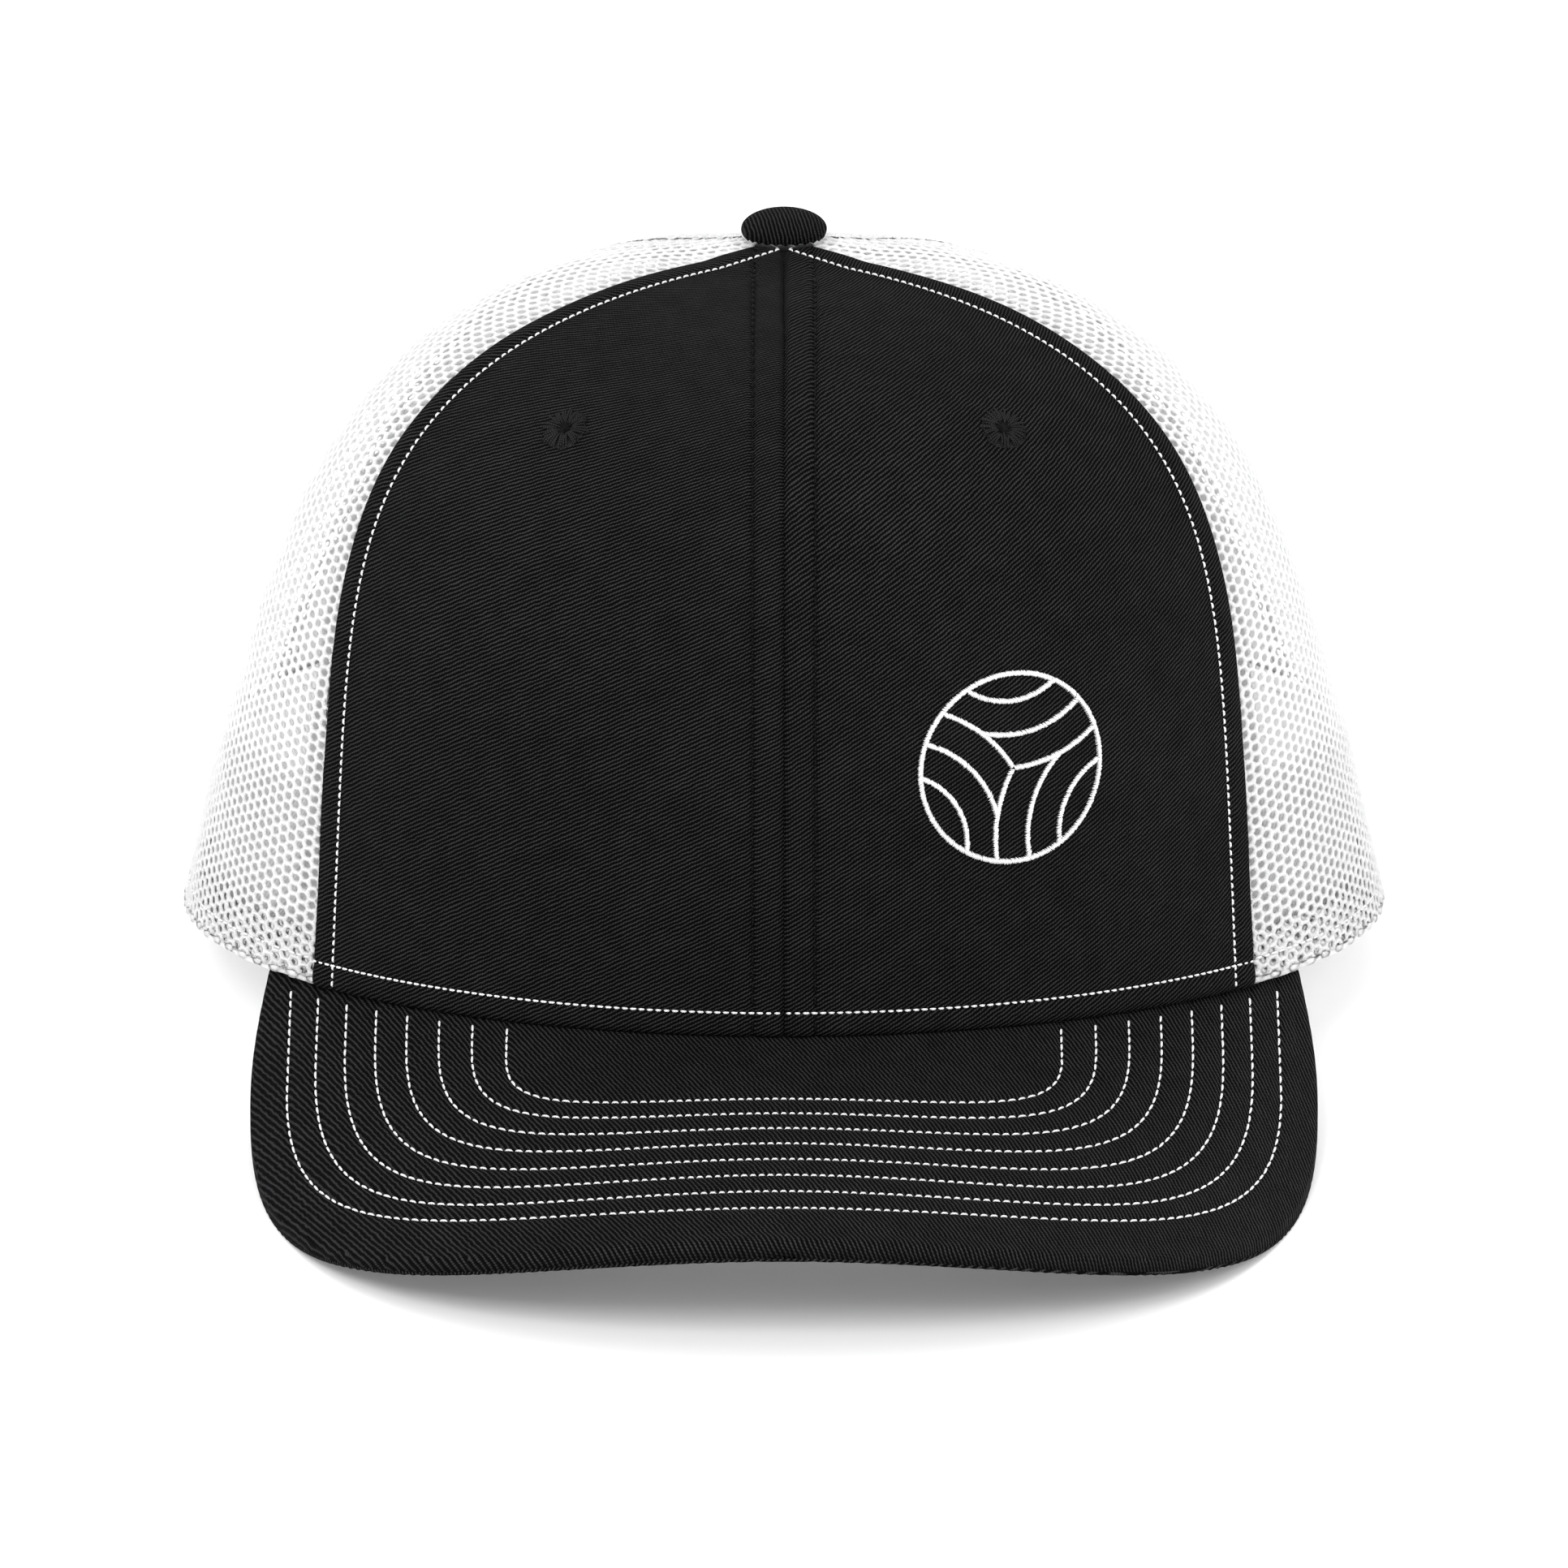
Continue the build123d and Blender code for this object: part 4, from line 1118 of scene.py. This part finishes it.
def mirrored(half):
    """A line and its mirror image, joined at the middle."""
    return np.concatenate([half * [-1, 1], half[-2::-1]])


def visor_edge():
    """Outline of the visor from one root corner round the front to the other, as (x, f)."""
    front = bow(VISOR_HALF_WIDTH, VISOR_LENGTH, VISOR_SHOULDER, VISOR_POWER, 600)
    back = np.linspace(visor_root(VISOR_ROOT_HALF), VISOR_SHOULDER, 200)[:-1]
    share = (back - back[0]) / (VISOR_SHOULDER - back[0])
    side = VISOR_ROOT_HALF + (VISOR_HALF_WIDTH - VISOR_ROOT_HALF) * np.sin(share * np.pi / 2)
    return mirrored(np.concatenate([np.stack([side, back], 1), front]))


def row_shape(k):
    """Half width, front reach, shoulder and superellipse power of the k-th stitch row."""
    half = 80.0 - 4.49 * k - 0.083 * k**2
    front = 57.5 - 5.66 * k + 0.051 * k**2
    return half, front, -13.6 - 2.73 * k + 0.627 * k**2, 2.2 + 0.243 * k - 0.016 * k**2


def row_distance(x, f, k):
    """Distance from a stitch row, positive outside it."""
    half, front, shoulder, power = row_shape(k)

    def rho(x, f):
        ahead = np.clip((f - shoulder) / (front - shoulder), 0, None)
        return ((np.abs(x) / half) ** power + ahead**power + 1e-9) ** (1 / power)
    value = rho(x, f)
    slope = np.hypot(rho(x + 0.1, f) - rho(x - 0.1, f), rho(x, f + 0.1) - rho(x, f - 0.1)) / 0.2
    return (value - 1) / np.maximum(slope, 1e-3)


def row_path(k):
    """Stitch row in (x, f), from the crown round the front and back to the crown."""
    half, front, shoulder, power = row_shape(k)
    start = HALF_LENGTH * math.sqrt(1 - (half / HALF_WIDTH) ** 2) - HALF_LENGTH + 0.5
    leg = np.stack([np.full(60, half), np.linspace(start, shoulder, 60)], 1)
    return mirrored(np.concatenate([leg, bow(half, front, shoulder, power, 260)[1:]]))


def at_shares(line, share):
    """Points of a line at shares of its length."""
    run = run_of(line)
    return np.stack([np.interp(share * run[-1], run, line[:, i]) for i in (0, 1)], 1)


ALONG = 330                  # stations along the visor's edge
outline = visor_edge()
station = np.linspace(0, 1, ALONG)
rim = at_shares(outline, station)
root_x = np.linspace(-VISOR_ROOT_HALF, VISOR_ROOT_HALF, 800)
# the root's stations lean towards its corners, so that the grid's lines meet the edge squarely
rooted = at_shares(np.stack([root_x, visor_root(root_x)], 1), station - 0.09 * np.sin(2 * np.pi * station))
spoke = np.linalg.norm(rooted - rim, axis=1)
near = np.array([0, 0.05, 0.16, 0.33, 0.56, 0.85, 1.15, 1.5, 1.95])
rest = np.linspace(0, 1, 122)[1:]
reach = np.minimum(1, spoke / 7)[:, None]
far = near[-1] * reach + (spoke[:, None] - near[-1] * reach) * rest[None]
steps = np.concatenate([near[None] * reach, far], 1)
share = steps / np.maximum(spoke, 1e-6)[:, None]
x = rim[:, :1] + (rooted[:, :1] - rim[:, :1]) * share
f = rim[:, 1:] + (rooted[:, 1:] - rim[:, 1:]) * share
sparse = outline[::3]
# distance of each grid point in from the edge
inset = np.array([np.hypot(*(line[:, None] - sparse).T).min(0) for line in np.stack([x, f], -1)])
inset[:, 0] = 0
ROLL, LIP_TOP, LIP_SEAM, LIP_DROP = 0.7, 0.5, 2.05, 1.1
rounding = LIP_TOP * (1 - np.sqrt(np.clip(1 - ((ROLL - inset).clip(0) / ROLL) ** 2, 0, 1)))
quilt = np.zeros(x.shape)
for k in range(VISOR_ROWS):
    d = row_distance(x, f, k)
    quilt += 0.3 * bump(d, 0.5) + 0.14 * bump(d, 1.5)
inside = np.clip(inset / 2.5, 0, 1)
bead = LIP_DROP * np.clip(1 - inset / 6, 0, 1) ** 2 * np.clip(1 - (x / 68) ** 2, 0, 1)
at_rim = inset < 0.4
top_outer = quilt * inside + rounding + 0.12 * bump(inset - 2.6, 0.7)
top_inner = np.where(at_rim, LIP_SEAM + bead, np.maximum(top_outer + 0.3, 0.62))
low_outer = VISOR_THICK + bead - quilt * inside * 0.8 - rounding * 0.9
low_inner = np.where(at_rim, LIP_SEAM + 0.08 + bead, np.minimum(low_outer - 0.3, VISOR_THICK - 0.62 + bead))
outward = rim - rooted
outward /= np.linalg.norm(outward, axis=1, keepdims=True).clip(1e-6)
for name, node, shown, upper, lower, material, slot in (
        ("visor_top_cloth", "visor_top_cover", top_outer, top_outer, top_inner, TWILL_VISOR, "visor_twill"),
        ("visor_under_cloth", "visor_under_cover", low_outer, low_inner, low_outer, TWILL_UNDER,
         "visor_lining")):
    points, faces, used = shell(visor_at(x, f, upper)[0][:, ::-1], visor_at(x, f, lower)[0][:, ::-1])
    # the cloth's own coordinates run on round the edge
    wraps = [np.abs(d - shown[:, -1:]) * at_rim for d in (upper, lower)]
    uv = np.concatenate([pairs((x + w * outward[:, :1])[:, ::-1], (-f - w * outward[:, 1:])[:, ::-1])
                         for w in wraps])[used]
    make_piece(name, points, faces, material, uv, replaces=[node])

for name, depth, flip in (("visor_top_stitches", 0.3, 1), ("visor_under_stitches", VISOR_THICK - 0.24, -1)):
    rows = []
    for k in range(VISOR_ROWS):
        path = row_path(k)
        points, normals = visor_at(path[:, 0], path[:, 1], depth)
        ahead = np.gradient(path, axis=0)
        leg = np.abs(ahead[:, 1]) / np.linalg.norm(ahead, axis=1)
        rows.append(stitch_row(points, normals * flip, stretch=1 + LEG_STRETCH * leg))
    thread_piece(name, rows, WHITE_THREAD)


# ---- snap strap
STRAP_ARC, STRAP_LOW, STRAP_TALL, STRAP_THICK = 111.0, 2.5, 14.0, 1.2
STRAP_ROUND = 0.00028        # metres
BEND_FREE, BEND_SEWN = 40.6, 47.5   # where the bend starts on the free strap and ends on the sewn one
BEND_BLEND = (45.0, 41.5)    # where the bend stops riding on the crown, and where it follows the strap
BOX_STITCHES = (48.5, 53.5)


def body_of_node(node):
    return node if node in frame["bodies"] else "crown"


def softened(node, name, material):
    """Copy of a moulded CAD node with rounded edges, to stand for it on the same body."""
    mesh = frame["nodes"][node].data.copy()
    mesh.name = name
    work = bmesh.new()
    work.from_mesh(mesh)
    bmesh.ops.remove_doubles(work, verts=work.verts, dist=2e-6)
    bmesh.ops.dissolve_limit(work, angle_limit=math.radians(1.0), verts=work.verts, edges=work.edges)
    sharp = [edge for edge in work.edges if edge.is_manifold and edge.calc_face_angle(0) > math.radians(42)]
    bmesh.ops.bevel(work, geom=sharp, offset=STRAP_ROUND, segments=3, profile=0.5, affect="EDGES",
                    clamp_overlap=True)
    bmesh.ops.triangulate(work, faces=[face for face in work.faces if len(face.verts) > 4])
    work.to_mesh(mesh)
    work.free()
    mesh.materials.clear()
    mesh.materials.append(material)
    mesh.polygons.foreach_set("use_smooth", np.full(len(mesh.polygons), True))
    mesh.set_sharp_from_angle(angle=math.radians(50))
    piece = add_object(name, mesh)
    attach(piece, body_of_node(node))
    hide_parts(node)


for node in ("hole_strap", "peg_strap", "hole_strap_tab", "peg_strap_tab"):
    softened(node, node + "_moulding", STRAP_PLASTIC)


def strap_place(position, depth, z):
    """Point at a place along the straps' arc, at a depth inward from the base oval."""
    angle = np.pi / 2 - position / STRAP_ARC
    reach = STRAP_ARC - depth
    y = HALF_LENGTH - STRAP_ARC + reach * np.sin(angle)
    return np.stack(np.broadcast_arrays(reach * np.cos(angle), y, z), -1)


def strap_azimuth(sign, place):
    """Azimuth on the crown of a place along the straps' arc."""
    return 180 - sign * math.degrees(math.atan2(place, STRAP_ARC - 9.8))


# thin bend that joins each strap to its sewn end, from the free strap's arc to the crown's wall
for node, sign, depth in (("hole_strap", 1, 1.8), ("peg_strap", -1, 3.3)):
    loop = rounded_loop(STRAP_TALL - 0.3, STRAP_THICK * 0.8, 24, 6)
    sections = []
    for place in np.linspace(BEND_FREE, BEND_SEWN, 16):
        weight = float(np.clip((place - 42) / 4, 0, 1))
        weight = weight * weight * (3 - 2 * weight)
        height = STRAP_LOW + STRAP_TALL / 2 + loop[:, 0]
        waist = 1 - 0.35 * math.exp(-((place - 44) / 1.2) ** 2)
        inward = STRAP_THICK / 2 - loop[:, 1] * waist
        free = strap_place(sign * place, depth + inward, height)
        sewn, _ = crown(strap_azimuth(sign, place), height / CROWN_HEIGHT, -(2.3 + inward))
        sections.append(free * (1 - weight) + sewn * weight)
    points, faces = sweep(np.array(sections)[::sign])
    piece = make_piece(node + "_bend", points, faces, STRAP_PLASTIC, body=None)
    start, end = (tuple(to_row(strap_place(sign * place, depth, 9.5))) for place in BEND_BLEND)
    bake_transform(piece)

# box stitches through each sewn end and the cloth behind it
rows = []
for sign in (1, -1):
    for place in BOX_STITCHES:
        z = np.linspace(3.6, 15.4, 40)
        points, normals = crown(strap_azimuth(sign, place), z / CROWN_HEIGHT, -3.55)
        rows.append(stitch_row(points, -normals, **LONG_STITCH))
thread_piece("strap_stitches", rows, WHITE_THREAD)


# ---- carried-over CAD nodes
for node, material in (("visor_board", BOARD_PLASTIC), ("button_shell", STEEL), ("button_backplate", STEEL)):
    for slot in frame["nodes"][node].material_slots:
        slot.material = material


# ---- floor, light and camera
floor_mesh = bpy.data.meshes.new("floor")
FLOOR_HALF = 6.0
corners = [(x * FLOOR_HALF, y * FLOOR_HALF, 0) for x, y in ((-1, -1), (1, -1), (1, 1), (-1, 1))]
floor_mesh.from_pydata(corners, [], [(0, 1, 2, 3)])
floor = add_object("floor", floor_mesh)
n = Nodes("pale_floor")
tone = n.ramp(n.noise(14, 2), (0.90, 0.90, 0.90), (0.92, 0.92, 0.92))
n.shade({"Emission Color": (1, 1, 1, 1), "Emission Strength": 0.08})
floor_mesh.materials.append(n.finish(tone, n.noise(900, 2), 0.00001, 0.75, specular=0.1))

world = bpy.data.worlds.new("studio")
world.use_nodes = True
sky = world.node_tree.nodes["Background"]
sky.inputs["Color"].default_value = (1, 1, 1, 1)
sky.inputs["Strength"].default_value = 1.0
bpy.context.scene.world = world


def softbox(name, place, size, watts):
    """Rectangular studio light, aimed at the cap."""
    light = bpy.data.lights.new(name, "AREA")
    light.shape = "RECTANGLE"
    light.size, light.size_y = size
    light.energy = watts
    lamp = add_object(name, light)
    lamp.location = place
    lamp.rotation_euler = (Vector((0, 0, 0.05)) - Vector(place)).to_track_quat("-Z", "Y").to_euler()


softbox("key_light", (-0.5, -1.3, 1.25), (0.7, 0.6), 16)
softbox("fill_light", (0.8, -1.3, 1.1), (0.8, 0.7), 10)
softbox("top_light", (0, -0.5, 1.6), (1.2, 0.8), 3)

# a weak soft light inside the crown, so that the netting isn't dark behind its holes
glow = bpy.data.lights.new("inner_light", "POINT")
glow.energy, glow.shadow_soft_size = 0.075, 0.04
inner_lamp = add_object("inner_light", glow)
inner_lamp.location = to_row([0, 15, 38])
inner_lamp.visible_camera = False

CAMERA_TARGET = np.array([0.0, -0.55, 19.1])
CAMERA_RISE, CAMERA_DISTANCE, LENS = 14.35, 2550.0, 354.0
offset = np.array([0.0, -math.cos(math.radians(CAMERA_RISE)), math.sin(math.radians(CAMERA_RISE))])
camera_data = bpy.data.cameras.new("camera")
camera_data.lens, camera_data.sensor_width = LENS, 36.0
camera_data.clip_end = 20.0
camera = add_object("camera", camera_data)
aim = Vector(to_row(CAMERA_TARGET))
camera.location = to_row(CAMERA_TARGET + offset * CAMERA_DISTANCE)
camera.rotation_euler = (aim - camera.location).to_track_quat("-Z", "Y").to_euler()
bpy.context.scene.camera = camera
bpy.context.scene.view_settings.view_transform = "Standard"
